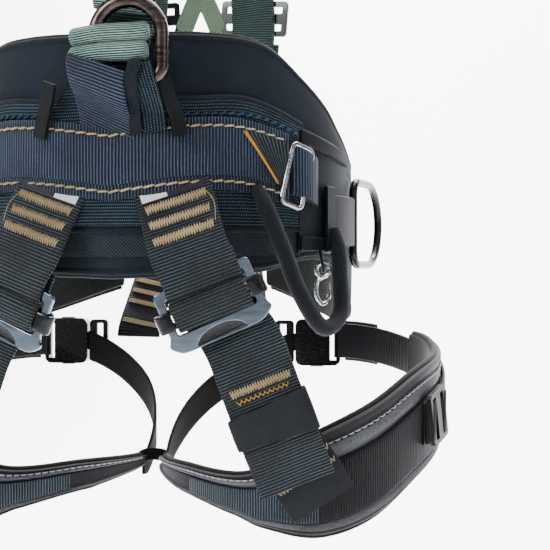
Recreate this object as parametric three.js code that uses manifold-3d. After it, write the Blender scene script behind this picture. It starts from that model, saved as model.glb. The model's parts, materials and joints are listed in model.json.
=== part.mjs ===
// Tree climbing saddle: padded waist belt, two leg loops, risers, rings, buckles and shoulder straps.
// Millimetres. +X is the wearer's right, +Y is forward, +Z is up.
// The origin is the middle of the waist opening, level with the lower edge of the pad at the back.
import * as THREE from 'three';
import { mergeVertices } from 'three/addons/utils/BufferGeometryUtils.js';
import Module from 'manifold-3d';

const wasm = await Module();
wasm.setup();

// ---------------------------------------------------------------- driving dimensions
const WAIST_HALF_WIDTH = 121;
const WAIST_HALF_DEPTH = 122;
const LEG_CENTRE = { x: 93.5, y: -8 };
const LEG_HALF_WIDTH = 87;
const LEG_HALF_DEPTH = 97;
const WEBBING = 44;
const NARROW_WEBBING = 25;
const WEBBING_THICK = 2.4;
const GAP = 0.4;

// radial layers of the belt, measured outward from the waist ellipse
const PAD = { inner: -5, outer: 5 };
const SLEEVE = { inner: PAD.outer + GAP, outer: 8 };
const TONGUE = { inner: SLEEVE.outer + GAP, outer: 10.4 };
const BELT = { inner: TONGUE.outer + GAP, outer: 13.4 };

// radial layers of a leg loop
const LEG_PAD = { inner: -4, outer: 4 };
const LEG_BAND = { inner: LEG_PAD.outer + GAP, outer: 7 };

// heights along the belt: [degrees round from the back centre, millimetres]
const PAD_TOP = [
  [0, 135], [26, 137], [41, 134], [55, 117], [66, 103], [75, 89], [90, 74], [120, 74], [155, 92],
];
const PAD_BOTTOM = [[0, 0], [40, 4], [62, 12], [80, 0], [97, -26], [118, -28], [155, -6]];
const SLEEVE_TOP = [[0, 98], [20, 100], [36, 101], [57, 86]];
const SLEEVE_BOTTOM = [[0, 25], [57, 27]];
const BELT_MIDDLE = [[0, 63], [20, 69], [34, 69], [52, 59], [90, 36], [120, 42], [180, 60]];

// heights and widths round a leg loop: [degrees round from the back, millimetres]
const LEG_MIDDLE = [
  [-80, -124], [-46, -122], [-18, -127], [-7, -128], [17, -119], [35, -109],
  [58, -91], [90, -76], [125, -57], [180, -49], [230, -80], [276, -123],
];
const LEG_PAD_HEIGHT = [[-80, 12], [-46, 15], [-18, 22], [-7, 32], [17, 60], [58, 63], [90, 54], [125, 33]];

// arcs, in degrees, that the sewn parts cover
const PAD_END = 152;
const SLEEVE_END = 53;
const BELT_END = 43.3;
const HIP_PANEL = { from: 54, to: 74 };
const SLIDER_AT = 49;
const HIP_RING_AT = 79.5;
const FRONT_BELT = { from: 93, to: 169 };
const LEG_PAD_ARC = { from: -79, to: 124 };
const LEG_BAND_ARC = { from: 22, to: 118 };
const LEG_OUTER_STRAP = { from: 125.5, to: 165 };
const LEG_BUCKLE_AT = 181;
const LEG_INNER_STRAP = { from: 198, to: 279.5 };

const REAR_RING = { width: 38, height: 44, rod: 8, x: 13.6, y: -142, z: 130 };
const HIP_RING = { height: 53, depth: 56, rod: 5.4, z: 33, yaw: -13 };
const VENTRAL_RING = { width: 44, height: 38, rod: 7, z: 12, y: 133 };
const HOOK_AT = { x: 114, y: -64, z: -5 };
const BUCKLE = { length: 33, width: 34, thick: 9, slot: 4.4 };

// ---------------------------------------------------------------- materials
const finish = (color, roughness, metalness) => (
  new THREE.MeshStandardMaterial({ color, roughness, metalness })
);
const MATERIAL = {
  pad: finish(0x2b303c, 0.85, 0),
  mesh: finish(0x1c2426, 0.95, 0),
  webbing: finish(0x20242e, 0.7, 0),
  greenWebbing: finish(0x9fb39a, 0.75, 0),
  leather: finish(0x16171b, 0.55, 0),
  legPad: finish(0x4a4c50, 0.8, 0),
  elastic: finish(0x17181b, 0.85, 0),
  bronze: finish(0x6b5a4c, 0.35, 1),
  blackMetal: finish(0x1d1e21, 0.3, 0.9),
  greyMetal: finish(0x8b8f94, 0.35, 1),
  chrome: finish(0xd8dadd, 0.15, 1),
  brass: finish(0xb08d4a, 0.3, 1),
  plastic: finish(0x15161a, 0.5, 0),
};

// ---------------------------------------------------------------- shape helpers
const radians = THREE.MathUtils.degToRad;
const vector = (x, y, z) => new THREE.Vector3(x, y, z);

// value at `at` on a smooth curve through a short list of [position, value]
function along(table, at) {
  const last = table.length - 1;
  if (at <= table[0][0]) return table[0][1];
  if (at >= table[last][0]) return table[last][1];
  const next = table.findIndex((row) => row[0] > at);
  const slope = (i) => {
    const before = table[Math.max(i - 1, 0)];
    const after = table[Math.min(i + 1, last)];
    return (after[1] - before[1]) / (after[0] - before[0]);
  };
  const [start, low] = table[next - 1];
  const [end, high] = table[next];
  const span = end - start;
  const t = (at - start) / span;
  const ease = t * t * (3 - 2 * t);
  const leaving = t * (1 - t) ** 2 * span * slope(next - 1);
  const arriving = t * t * (t - 1) * span * slope(next);
  return low + (high - low) * ease + leaving + arriving;
}

// a closed block bent by place(u, v, w), with u, v and w from 0 to 1
function bentBlock(steps, place) {
  const geometry = new THREE.BoxGeometry(1, 1, 1, ...steps);
  const position = geometry.attributes.position;
  for (let i = 0; i < position.count; i += 1) {
    const point = place(position.getX(i) + 0.5, position.getY(i) + 0.5, position.getZ(i) + 0.5);
    position.setXYZ(i, point.x, point.y, point.z);
  }
  return facingOut(geometry);
}

// turns the faces over where the bend has mirrored the block
function facingOut(geometry) {
  const { index, attributes: { position } } = geometry;
  const [a, b, c] = [vector(), vector(), vector()];
  let volume = 0;
  for (let i = 0; i < index.count; i += 3) {
    a.fromBufferAttribute(position, index.getX(i));
    b.fromBufferAttribute(position, index.getX(i + 1));
    c.fromBufferAttribute(position, index.getX(i + 2));
    volume += a.dot(b.cross(c));
  }
  if (volume < 0) {
    for (let i = 0; i < index.count; i += 3) {
      const first = index.getX(i);
      index.setX(i, index.getX(i + 1));
      index.setX(i + 1, first);
    }
  }
  return geometry;
}

// a flat strap along a smooth path, its width lying along `across`
function strap(points, across, width, thick, steps) {
  const path = new THREE.CatmullRomCurve3(points, false, 'centripetal');
  const crossways = Array.isArray(across) ? across : [across, across];
  return bentBlock([steps, 1, 1], (u, v, w) => {
    const tangent = path.getTangentAt(u);
    const side = crossways[0].clone().lerp(crossways[1], u);
    side.addScaledVector(tangent, -side.dot(tangent)).normalize();
    const normal = tangent.clone().cross(side);
    return path.getPointAt(u)
      .addScaledVector(side, (v - 0.5) * width)
      .addScaledVector(normal, (w - 0.5) * thick);
  });
}

// a round bar bent along a closed outline in the XY plane
function ringAlong(outline, rod, steps) {
  const tube = rod / 2;
  const geometry = new THREE.TorusGeometry(1, 0.25, 10, steps);
  const position = geometry.attributes.position;
  for (let i = 0; i < position.count; i += 1) {
    const [x, y, z] = [position.getX(i), position.getY(i), position.getZ(i)];
    const turn = (Math.atan2(y, x) / (2 * Math.PI) + 1) % 1;
    const middle = outline.getPointAt(turn);
    const tangent = outline.getTangentAt(turn);
    const outward = (Math.hypot(x, y) - 1) / 0.25;
    position.setXYZ(
      i,
      middle.x + tangent.y * outward * tube,
      middle.y - tangent.x * outward * tube,
      (z / 0.25) * tube,
    );
  }
  return facingOut(geometry);
}

// rounded rectangle about the origin, or a D where the far corners have a larger radius
function roundedOutline(width, height, nearRadius, farRadius = nearRadius) {
  const [x, y] = [width / 2, height / 2];
  const shape = new THREE.Shape();
  shape.moveTo(x, -y + farRadius);
  shape.lineTo(x, y - farRadius);
  shape.absarc(x - farRadius, y - farRadius, farRadius, 0, Math.PI / 2, false);
  shape.lineTo(-x + nearRadius, y);
  shape.absarc(-x + nearRadius, y - nearRadius, nearRadius, Math.PI / 2, Math.PI, false);
  shape.lineTo(-x, -y + nearRadius);
  shape.absarc(-x + nearRadius, -y + nearRadius, nearRadius, Math.PI, 1.5 * Math.PI, false);
  shape.lineTo(x - farRadius, -y);
  shape.absarc(x - farRadius, -y + farRadius, farRadius, 1.5 * Math.PI, 2 * Math.PI, false);
  return shape;
}

// a flat plate with rectangular slots, each { x, y, width, height }
function slottedPlate(outline, slots, thick) {
  const options = { depth: thick, bevelEnabled: false, curveSegments: 3 };
  const plate = new THREE.ExtrudeGeometry(outline, options).translate(0, 0, -thick / 2);
  const cutters = slots.map((slot) => boxAt(slot.x, slot.y, 0, slot.width, slot.height, thick + 2));
  return cutters.length ? cutFrom(plate, ...cutters) : plate;
}

function boxAt(x, y, z, width, depth, height) {
  return new THREE.BoxGeometry(width, depth, height).translate(x, y, z);
}

// a tube of round section along an open path
function tubeAlong(points, diameter, steps, sides = 10) {
  const section = new THREE.Shape();
  for (let i = 0; i < sides; i += 1) {
    const turn = (2 * Math.PI * i) / sides;
    const [x, y] = [Math.cos(turn) * diameter / 2, Math.sin(turn) * diameter / 2];
    if (i === 0) section.moveTo(x, y);
    else section.lineTo(x, y);
  }
  section.closePath();
  const path = new THREE.CatmullRomCurve3(points, false, 'centripetal');
  return new THREE.ExtrudeGeometry(section, { steps, extrudePath: path, bevelEnabled: false });
}

function solidOf(geometry) {
  const bare = geometry.clone();
  for (const name of Object.keys(bare.attributes)) {
    if (name !== 'position') bare.deleteAttribute(name);
  }
  const merged = mergeVertices(bare, 1e-4);
  return new wasm.Manifold(new wasm.Mesh({
    numProp: 3,
    vertProperties: new Float32Array(merged.attributes.position.array),
    triVerts: new Uint32Array(merged.index.array),
  }));
}

function geometryOf(solid) {
  const mesh = solid.getMesh();
  const geometry = new THREE.BufferGeometry();
  geometry.setAttribute('position', new THREE.BufferAttribute(mesh.vertProperties, 3));
  geometry.setIndex(new THREE.BufferAttribute(mesh.triVerts, 1));
  return geometry;
}

const joined = (...parts) => (
  geometryOf(parts.map(solidOf).reduce((whole, part) => whole.add(part)))
);
const cutFrom = (body, ...tools) => (
  geometryOf(tools.map(solidOf).reduce((whole, tool) => whole.subtract(tool), solidOf(body)))
);

function named(name, geometry, material) {
  const mesh = new THREE.Mesh(geometry, material);
  mesh.name = name;
  return mesh;
}

// ---------------------------------------------------------------- belt and leg loop surfaces
function beltPoint(degrees, z, outward) {
  const turn = radians(degrees);
  const normal = vector(Math.sin(turn) / WAIST_HALF_WIDTH, -Math.cos(turn) / WAIST_HALF_DEPTH, 0);
  const point = vector(WAIST_HALF_WIDTH * Math.sin(turn), -WAIST_HALF_DEPTH * Math.cos(turn), z);
  return point.addScaledVector(normal.normalize(), outward);
}

function legPoint(degrees, z, outward) {
  const turn = radians(degrees);
  const normal = vector(Math.sin(turn) / LEG_HALF_WIDTH, -Math.cos(turn) / LEG_HALF_DEPTH, 0);
  const point = vector(LEG_HALF_WIDTH * Math.sin(turn), -LEG_HALF_DEPTH * Math.cos(turn), z);
  return point.add(vector(LEG_CENTRE.x, LEG_CENTRE.y, 0)).addScaledVector(normal.normalize(), outward);
}

// part of the belt between two angles, with its lower and upper edges as functions of the angle
function beltBand(arc, bottom, top, layer, steps) {
  return bentBlock(steps, (u, v, w) => {
    const at = arc.from + (arc.to - arc.from) * u;
    const low = bottom(Math.abs(at));
    const high = top(Math.abs(at));
    return beltPoint(at, low + (high - low) * v, layer.inner + (layer.outer - layer.inner) * w);
  });
}

function legBand(arc, height, layer, steps) {
  return bentBlock(steps, (u, v, w) => {
    const at = arc.from + (arc.to - arc.from) * u;
    const z = along(LEG_MIDDLE, at) + (v - 0.5) * height(at);
    return legPoint(at, z, layer.inner + (layer.outer - layer.inner) * w);
  });
}

const edge = (table) => (at) => along(table, at);
const beltEdge = (offset) => (at) => along(BELT_MIDDLE, at) + offset;

// ---------------------------------------------------------------- quick-release buckle
// lies in XY with the strap along X and its outer face towards +Z
const CLIP = { x: 1, length: 11, reach: 6.6, thick: 4 };
const PRONG = { length: 17, width: 13, thick: 2.6 };

function buckleShell() {
  const { length, width, thick } = BUCKLE;
  const body = slottedPlate(roundedOutline(length, width, 5), [], thick);
  const mouth = boxAt(length / 2 - 9, 0, 0, 20, PRONG.width + 1, PRONG.thick + 1.6);
  const clipWay = boxAt(CLIP.x, 0, 0, CLIP.length + 1.2, width + 2, CLIP.thick + 0.8);
  const slot = boxAt(-length / 2 + 5.4, 0, 0, BUCKLE.slot, 26, thick + 2);
  return cutFrom(body, mouth, clipWay, slot);
}

function buckleTongue() {
  const prong = boxAt(-PRONG.length / 2 + 2, 0, 0, PRONG.length, PRONG.width, PRONG.thick);
  const frame = slottedPlate(roundedOutline(14, 32, 3), [{ x: 1, y: 0, width: 4.4, height: 26 }], 3.4);
  return joined(prong, frame.translate(7.6, 0, 0));
}

function buckleClip(side) {
  const { reach, length, thick } = CLIP;
  const y = side * (BUCKLE.width / 2 + 1 - reach / 2);
  return slottedPlate(roundedOutline(length, reach, 1.6), [], thick).translate(CLIP.x, y, 0);
}

function quickRelease(prefix) {
  const group = new THREE.Group();
  group.add(named(`${prefix}_buckle_shell`, buckleShell(), MATERIAL.blackMetal));
  const tongue = named(`${prefix}_buckle_tongue`, buckleTongue(), MATERIAL.greyMetal);
  tongue.position.x = BUCKLE.length / 2 + 0.6;
  group.add(tongue);
  group.add(named(`${prefix}_clip_upper`, buckleClip(1), MATERIAL.brass));
  group.add(named(`${prefix}_clip_lower`, buckleClip(-1), MATERIAL.brass));
  return group;
}

// stands a flat piece at a point, its X axis along `lengthways` and its Z axis towards `facing`
function stand(object, point, lengthways, facing) {
  const x = lengthways.clone().normalize();
  const z = facing.clone().addScaledVector(x, -facing.dot(x)).normalize();
  const y = z.clone().cross(x);
  object.applyMatrix4(new THREE.Matrix4().makeBasis(x, y, z).setPosition(point));
  return object;
}

// ---------------------------------------------------------------- rear riser
const RISER = {
  top: vector(37, -137.5, 42),
  bend: vector(62, -137, -22),
  keeper: vector(95, -126, -93),
  end: vector(106, -121, -121),
};
const upperRun = RISER.bend.clone().sub(RISER.top).normalize();
const lowerRun = RISER.keeper.clone().sub(RISER.bend).normalize();
const riserAcross = (run) => vector(0, -1, 0).cross(run).normalize();

function adjusterFrame() {
  const outline = roundedOutline(30, 58, 3);
  const slots = [
    { x: -8.4, y: 0, width: 6, height: 46.5 },
    { x: 6.5, y: 0, width: 6, height: 46.5 },
  ];
  return slottedPlate(outline, slots, 2.6);
}

function adjusterPlate() {
  const outline = roundedOutline(18, 62, 3);
  return slottedPlate(outline, [{ x: 0, y: 0, width: 5.4, height: 46.5 }], 2.4);
}

function rearRiser() {
  const group = new THREE.Group();
  const upperEnd = RISER.bend.clone().addScaledVector(upperRun, -18);
  const lowerStart = RISER.bend.clone().addScaledVector(lowerRun, 17.5);
  const upper = strap(
    [RISER.top, RISER.top.clone().lerp(upperEnd, 0.5), upperEnd],
    riserAcross(upperRun), WEBBING, 3.2, 6,
  );
  const lower = strap(
    [lowerStart, RISER.keeper, RISER.end],
    riserAcross(lowerRun), WEBBING, 3.2, 10,
  );
  group.add(named('riser_upper_right', upper, MATERIAL.webbing));
  group.add(named('riser_lower_right', lower, MATERIAL.webbing));

  const frame = named('adjuster_frame_right', adjusterFrame(), MATERIAL.greyMetal);
  group.add(stand(frame, RISER.bend, lowerRun, vector(0.1, -1, 0.12)));

  const plateAt = RISER.bend.clone().addScaledVector(upperRun, -6).add(vector(0, 4.6, 0));
  const plate = named('adjuster_plate_right', adjusterPlate(), MATERIAL.greyMetal);
  group.add(stand(plate, plateAt, upperRun, vector(0.1, -1, 0)));

  const keeper = slottedPlate(
    roundedOutline(49, 9.5, 2), [{ x: 0, y: 0, width: 44.8, height: 4.4 }], 14,
  );
  const keeperMesh = named('riser_keeper_right', keeper, MATERIAL.elastic);
  keeperMesh.applyMatrix4(new THREE.Matrix4().makeBasis(
    riserAcross(lowerRun), riserAcross(lowerRun).cross(lowerRun).negate(), lowerRun,
  ).setPosition(RISER.keeper));
  group.add(keeperMesh);
  return group;
}

// ---------------------------------------------------------------- leg loop, right side
function triglide() {
  const slots = [
    { x: -6, y: 0, width: 5, height: 26.5 },
    { x: 6, y: 0, width: 5, height: 26.5 },
  ];
  return slottedPlate(roundedOutline(24, 33, 3), slots, 3);
}

function legLoop() {
  const group = new THREE.Group();
  const webbing = () => 38;
  const narrow = () => NARROW_WEBBING;
  const strapLayer = { inner: -1.2, outer: 1.2 };
  group.add(named(
    'leg_pad_right', legBand(LEG_PAD_ARC, edge(LEG_PAD_HEIGHT), LEG_PAD, [34, 2, 1]), MATERIAL.legPad,
  ));
  group.add(named(
    'leg_webbing_right', legBand(LEG_BAND_ARC, webbing, LEG_BAND, [18, 1, 1]), MATERIAL.webbing,
  ));
  group.add(named(
    'leg_strap_right', legBand(LEG_OUTER_STRAP, narrow, strapLayer, [8, 1, 1]), MATERIAL.webbing,
  ));
  group.add(named(
    'crotch_strap_right', legBand(LEG_INNER_STRAP, narrow, strapLayer, [16, 1, 1]), MATERIAL.webbing,
  ));

  const buckle = quickRelease('leg_right');
  const buckleZ = along(LEG_MIDDLE, LEG_BUCKLE_AT);
  const forward = legPoint(LEG_BUCKLE_AT, buckleZ, 1).sub(legPoint(LEG_BUCKLE_AT, buckleZ, 0));
  const inward = legPoint(LEG_BUCKLE_AT + 1, buckleZ, 0).sub(legPoint(LEG_BUCKLE_AT - 1, buckleZ, 0));
  group.add(stand(buckle, legPoint(LEG_BUCKLE_AT - 2, buckleZ, 1.5), inward, forward));

  const slideAt = 68;
  const slideZ = along(LEG_MIDDLE, slideAt);
  const slide = named('triglide_right', triglide(), MATERIAL.plastic);
  const facing = legPoint(slideAt, slideZ, 1).sub(legPoint(slideAt, slideZ, 0));
  const sideways = legPoint(slideAt + 3, along(LEG_MIDDLE, slideAt + 3), 0)
    .sub(legPoint(slideAt - 3, along(LEG_MIDDLE, slideAt - 3), 0));
  group.add(stand(slide, legPoint(slideAt, slideZ, LEG_BAND.outer + 2.2), sideways, facing));
  return group;
}

// ---------------------------------------------------------------- belt side pieces, right side
function wireSlider() {
  return ringAlong(roundedOutline(16, 36, 3), 3.2, 44);
}

// the panel, with the webbing that holds the wire slider and the hip ring sewn on it
function hipPanel() {
  const top = (at) => 86 - (at - HIP_PANEL.from) * 0.5;
  const sewnOn = { inner: 7, outer: 11 };
  const panel = beltBand(HIP_PANEL, () => 15, top, SLEEVE, [8, 2, 1]);
  const sliderTab = beltBand({ from: 54.8, to: 62 }, beltEdge(-14), beltEdge(14), sewnOn, [3, 1, 1]);
  const ringTab = beltBand({ from: 63, to: 74.4 }, () => 17, () => 52, sewnOn, [4, 1, 1]);
  return joined(panel, sliderTab, ringTab);
}

function hipRing() {
  const outline = roundedOutline(HIP_RING.depth, HIP_RING.height, 9, 26);
  return ringAlong(outline, HIP_RING.rod, 56).rotateX(Math.PI / 2).translate(HIP_RING.depth / 2, 0, 0);
}

function beltSide() {
  const group = new THREE.Group();
  const slider = named('belt_slider_right', wireSlider(), MATERIAL.chrome);
  const sliderAt = beltPoint(SLIDER_AT, 58, BELT.outer - 0.4);
  const outward = beltPoint(SLIDER_AT, 0, 1).sub(beltPoint(SLIDER_AT, 0, 0));
  const tilt = beltPoint(SLIDER_AT + 2.5, 56.8, 0).sub(beltPoint(SLIDER_AT - 2.5, 59.8, 0));
  group.add(stand(slider, sliderAt, tilt, outward));

  group.add(named('hip_panel_right', hipPanel(), MATERIAL.leather));

  const ring = named('hip_ring_right', hipRing(), MATERIAL.blackMetal);
  ring.rotation.z = radians(90 + HIP_RING.yaw);
  ring.position.copy(beltPoint(HIP_RING_AT, HIP_RING.z, 10.6));
  group.add(ring);

  const front = beltBand(
    FRONT_BELT, beltEdge(-WEBBING / 2), beltEdge(WEBBING / 2), { inner: SLEEVE.inner, outer: 8 }, [16, 1, 1],
  );
  group.add(named('front_belt_right', front, MATERIAL.webbing));

  const loopPath = [
    beltPoint(37.5, 42, BELT.outer + 6),
    beltPoint(41.5, 16, BELT.outer + 9),
    beltPoint(46, -12, BELT.outer + 12),
    beltPoint(53.5, -31, BELT.outer + 11),
    beltPoint(60.5, -24, BELT.outer + 9),
    beltPoint(62.5, 0, BELT.outer + 6),
  ];
  group.add(named('gear_loop_right', tubeAlong(loopPath, 10, 28), MATERIAL.plastic));
  return group;
}

// ---------------------------------------------------------------- front riser and shoulder strap, right side
function frontRiser() {
  const points = [vector(26, 130, 36), vector(34, 119, -2), vector(40, 105, -32), vector(42, 98, -44)];
  const across = [vector(1, 0, 0), vector(0.94, 0, 0.35)];
  return strap(points, across, 32, WEBBING_THICK, 10);
}

const SHOULDER = {
  back: vector(24, -137, 296),
  top: vector(74, -8, 545),
  chest: vector(62, 112, 330),
  front: vector(44, 122, 214),
};

function shoulderStrap() {
  const points = [
    SHOULDER.back, vector(40, -118, 400), vector(66, -66, 510), SHOULDER.top,
    vector(78, 58, 490), vector(72, 98, 410), SHOULDER.chest, SHOULDER.front,
  ];
  const across = [vector(1, 0.1, -0.3), vector(1, -0.2, 0)];
  return strap(points, across, WEBBING, WEBBING_THICK, 32);
}

function strapAdjuster() {
  const slots = [
    { x: -6.6, y: 0, width: 5, height: WEBBING + 1 },
    { x: 6.6, y: 0, width: 5, height: WEBBING + 1 },
  ];
  return slottedPlate(roundedOutline(27, 54, 3), slots, 3);
}

function frontStrap() {
  const points = [vector(41, 122.5, 178), vector(36, 126, 140), vector(31, 130, 92)];
  return strap(points, vector(1, -0.2, 0), WEBBING, WEBBING_THICK, 6);
}

function frontSide() {
  const group = new THREE.Group();
  group.add(named('front_riser_right', frontRiser(), MATERIAL.webbing));
  group.add(named('shoulder_strap_right', shoulderStrap(), MATERIAL.greenWebbing));
  group.add(named('front_strap_right', frontStrap(), MATERIAL.greenWebbing));
  const adjuster = named('strap_adjuster_right', strapAdjuster(), MATERIAL.chrome);
  group.add(stand(adjuster, vector(42.5, 122.2, 196), vector(0.08, 0, 1), vector(0.2, 1, 0)));
  return group;
}

// ---------------------------------------------------------------- pieces on the middle line
function rearRing() {
  const outline = roundedOutline(REAR_RING.height, REAR_RING.width, 8, 18.9);
  const upright = new THREE.Matrix4().makeBasis(vector(0, 0, 1), vector(1, 0, 0), vector(0, 1, 0));
  return ringAlong(outline, REAR_RING.rod, 56).applyMatrix4(upright);
}

function rearTongue() {
  const halfWidth = [[28, 24], [80, 34], [92, 33], [106, 22]];
  return bentBlock([4, 10, 1], (u, v, w) => {
    const z = 28 + (106 - 28) * v;
    const across = (u - 0.5) * 2 * along(halfWidth, z);
    const at = THREE.MathUtils.radToDeg(Math.asin(across / WAIST_HALF_WIDTH));
    return beltPoint(at, z, TONGUE.inner + (TONGUE.outer - TONGUE.inner) * w);
  });
}

// webbing that goes round the lower bar of the rear ring
function rearRingLoop() {
  const { x, y, z, height } = REAR_RING;
  const bar = z - height / 2;
  const reach = REAR_RING.rod / 2 + 1.9;
  const points = [
    vector(x, y + reach + 1, bar - 14),
    vector(x, y + reach, bar - 2),
    vector(x, y + reach * 0.75, bar + 4.2),
    vector(x, y, bar + reach + 0.4),
    vector(x, y - reach * 0.75, bar + 4.2),
    vector(x, y - reach, bar - 2),
    vector(x, y - reach + 1.5, bar - 14),
  ];
  return strap(points, vector(1, 0, 0), 24, 2.2, 20);
}

// webbing that hangs in the rear ring and goes up to the middle of the back
function backStrap() {
  const { x, y, z, height } = REAR_RING;
  const top = z + height / 2;
  const points = [
    vector(0, y + 7, 292), vector(x * 0.7, y + 9, top + 40), vector(x, y + 10.5, top),
    vector(x, y + 9.5, z + 6), vector(x, y + 4, z - 5), vector(x, y - 4, z - 5),
    vector(x, y - 9.5, z + 6), vector(x, y - 10.5, top), vector(x * 0.7, y - 6, top + 40),
    vector(0, y + 3.6, 292),
  ];
  return strap(points, vector(1, 0, 0), 28, WEBBING_THICK, 44);
}

function ventralRing() {
  const outline = roundedOutline(VENTRAL_RING.width, VENTRAL_RING.height, 14, 14);
  return ringAlong(outline, VENTRAL_RING.rod, 48).rotateX(Math.PI / 2);
}

function snapHook() {
  const hook = [
    vector(0, 0, 4), vector(-3.4, 0, 1), vector(-3.6, 0, -8), vector(0, 0, -12.5), vector(3.6, 0, -9),
    vector(3.6, 0, -6.5),
  ];
  const eye = new THREE.TorusGeometry(4, 1.3, 8, 20).rotateX(Math.PI / 2).translate(0, 0, 8);
  return joined(tubeAlong(hook, 2.6, 18, 8), eye);
}

function snapGate() {
  return new THREE.CylinderGeometry(0.9, 0.9, 5.4, 10).rotateX(Math.PI / 2).translate(3.6, 0, -3);
}

// small accessory hook that hangs below the right hip panel
function accessoryHook() {
  const group = new THREE.Group();
  group.add(named('snap_hook', snapHook(), MATERIAL.chrome));
  group.add(named('snap_gate', snapGate(), MATERIAL.chrome));
  group.position.set(HOOK_AT.x, HOOK_AT.y, HOOK_AT.z);
  return group;
}

function middleLine() {
  const group = new THREE.Group();
  const arc = (end) => ({ from: -end, to: end });
  group.add(named(
    'waist_pad', beltBand(arc(PAD_END), edge(PAD_BOTTOM), edge(PAD_TOP), PAD, [76, 3, 1]), MATERIAL.pad,
  ));
  group.add(named(
    'belt_sleeve', beltBand(arc(SLEEVE_END), edge(SLEEVE_BOTTOM), edge(SLEEVE_TOP), SLEEVE, [32, 1, 1]),
    MATERIAL.mesh,
  ));
  group.add(named(
    'belt_webbing', beltBand(arc(BELT_END), beltEdge(-WEBBING / 2), beltEdge(WEBBING / 2), BELT, [30, 1, 1]),
    MATERIAL.webbing,
  ));
  group.add(named('rear_tongue', rearTongue(), MATERIAL.mesh));
  group.add(named('rear_ring_loop', rearRingLoop(), MATERIAL.webbing));
  group.add(named('back_strap', backStrap(), MATERIAL.greenWebbing));

  const ring = named('rear_ring', rearRing(), MATERIAL.bronze);
  ring.position.set(REAR_RING.x, REAR_RING.y, REAR_RING.z);
  group.add(ring);

  const ventral = named('ventral_ring', ventralRing(), MATERIAL.greyMetal);
  ventral.position.set(0, VENTRAL_RING.y + 6, VENTRAL_RING.z);
  group.add(ventral);

  const waist = quickRelease('waist');
  group.add(stand(waist, vector(4, -beltPoint(0, 0, 8).y, 60), vector(-1, 0, 0), vector(0, 1, 0)));
  return group;
}

// ---------------------------------------------------------------- assembly
function mirrored(side) {
  const copy = side.clone();
  copy.scale.x = -1;
  copy.traverse((node) => {
    node.name = node.name.replace('right', 'left');
  });
  return copy;
}

const rightSide = new THREE.Group();
rightSide.add(beltSide(), rearRiser(), legLoop(), frontSide());

const saddle = new THREE.Group();
saddle.add(middleLine(), accessoryHook(), rightSide, mirrored(rightSide));

export default saddle;
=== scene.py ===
"""Looks of the tree climbing saddle: webbing, padding, stitching, hardware, light and camera.

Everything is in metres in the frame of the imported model: +X is the wearer's right, +Y is forward,
+Z is up, and the origin is the middle of the waist opening.
"""

import json
import math

import bmesh
import bpy
import numpy as np
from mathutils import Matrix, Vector


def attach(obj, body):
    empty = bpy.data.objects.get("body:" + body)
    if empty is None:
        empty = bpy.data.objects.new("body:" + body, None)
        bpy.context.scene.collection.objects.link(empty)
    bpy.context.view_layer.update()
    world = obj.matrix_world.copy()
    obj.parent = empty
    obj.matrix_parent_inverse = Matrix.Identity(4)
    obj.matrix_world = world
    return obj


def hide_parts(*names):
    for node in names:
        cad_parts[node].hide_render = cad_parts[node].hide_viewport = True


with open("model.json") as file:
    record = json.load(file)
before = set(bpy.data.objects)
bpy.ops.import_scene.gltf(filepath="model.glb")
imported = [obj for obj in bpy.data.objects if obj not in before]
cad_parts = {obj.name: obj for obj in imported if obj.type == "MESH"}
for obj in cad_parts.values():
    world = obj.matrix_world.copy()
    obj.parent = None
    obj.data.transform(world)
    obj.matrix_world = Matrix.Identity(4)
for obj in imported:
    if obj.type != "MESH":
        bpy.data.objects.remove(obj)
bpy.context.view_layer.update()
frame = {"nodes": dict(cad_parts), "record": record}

MM = 0.001
BODY_OF = {node: body for body, nodes in frame["record"]["behaviour"]["bodies"].items() for node in nodes}

# ------------------------------------------------------------------ dimensions, as in the design
WAIST_HALF_WIDTH = 121 * MM
WAIST_HALF_DEPTH = 122 * MM
LEG_CENTRE = (93.5 * MM, -8 * MM)
LEG_HALF_WIDTH = 87 * MM
LEG_HALF_DEPTH = 97 * MM
WEBBING = 44 * MM
NARROW_WEBBING = 25 * MM
SIDES = (("right", False), ("left", True))
FLIP = np.array([-1, 1, 1])

# heights along the belt: degrees round from the back centre, millimetres
PAD_TOP = [(0, 135), (26, 137), (41, 134), (55, 117), (66, 103), (75, 89), (90, 74), (120, 74), (155, 92)]
PAD_BOTTOM = [(0, 0), (40, 4), (62, 12), (80, 0), (97, -26), (118, -28), (155, -6)]
SLEEVE_TOP = [(0, 98), (20, 100), (36, 101), (57, 86)]
SLEEVE_BOTTOM = [(0, 25), (57, 27)]
BELT_MIDDLE = [(0, 63), (20, 69), (34, 69), (52, 59), (90, 36), (120, 42), (180, 60)]
LEG_MIDDLE = [
    (-80, -124), (-46, -122), (-18, -127), (-7, -128), (17, -119), (35, -109),
    (58, -91), (90, -76), (125, -57), (180, -49), (230, -80), (276, -123),
]
LEG_PAD_HEIGHT = [(-80, 12), (-46, 15), (-18, 22), (-7, 32), (17, 60), (58, 63), (90, 54), (125, 33)]


# ------------------------------------------------------------------ surfaces that the straps lie on
def unit(vectors):
    """One direction, or many in rows, made one long."""
    vectors = np.asarray(vectors, float)
    return vectors / np.maximum(np.linalg.norm(vectors, axis=-1, keepdims=True), 1e-12)


def run_length(path):
    """Distance along a path at each of its points."""
    return np.concatenate([[0], np.cumsum(np.linalg.norm(np.diff(path, axis=0), axis=1))])


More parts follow.
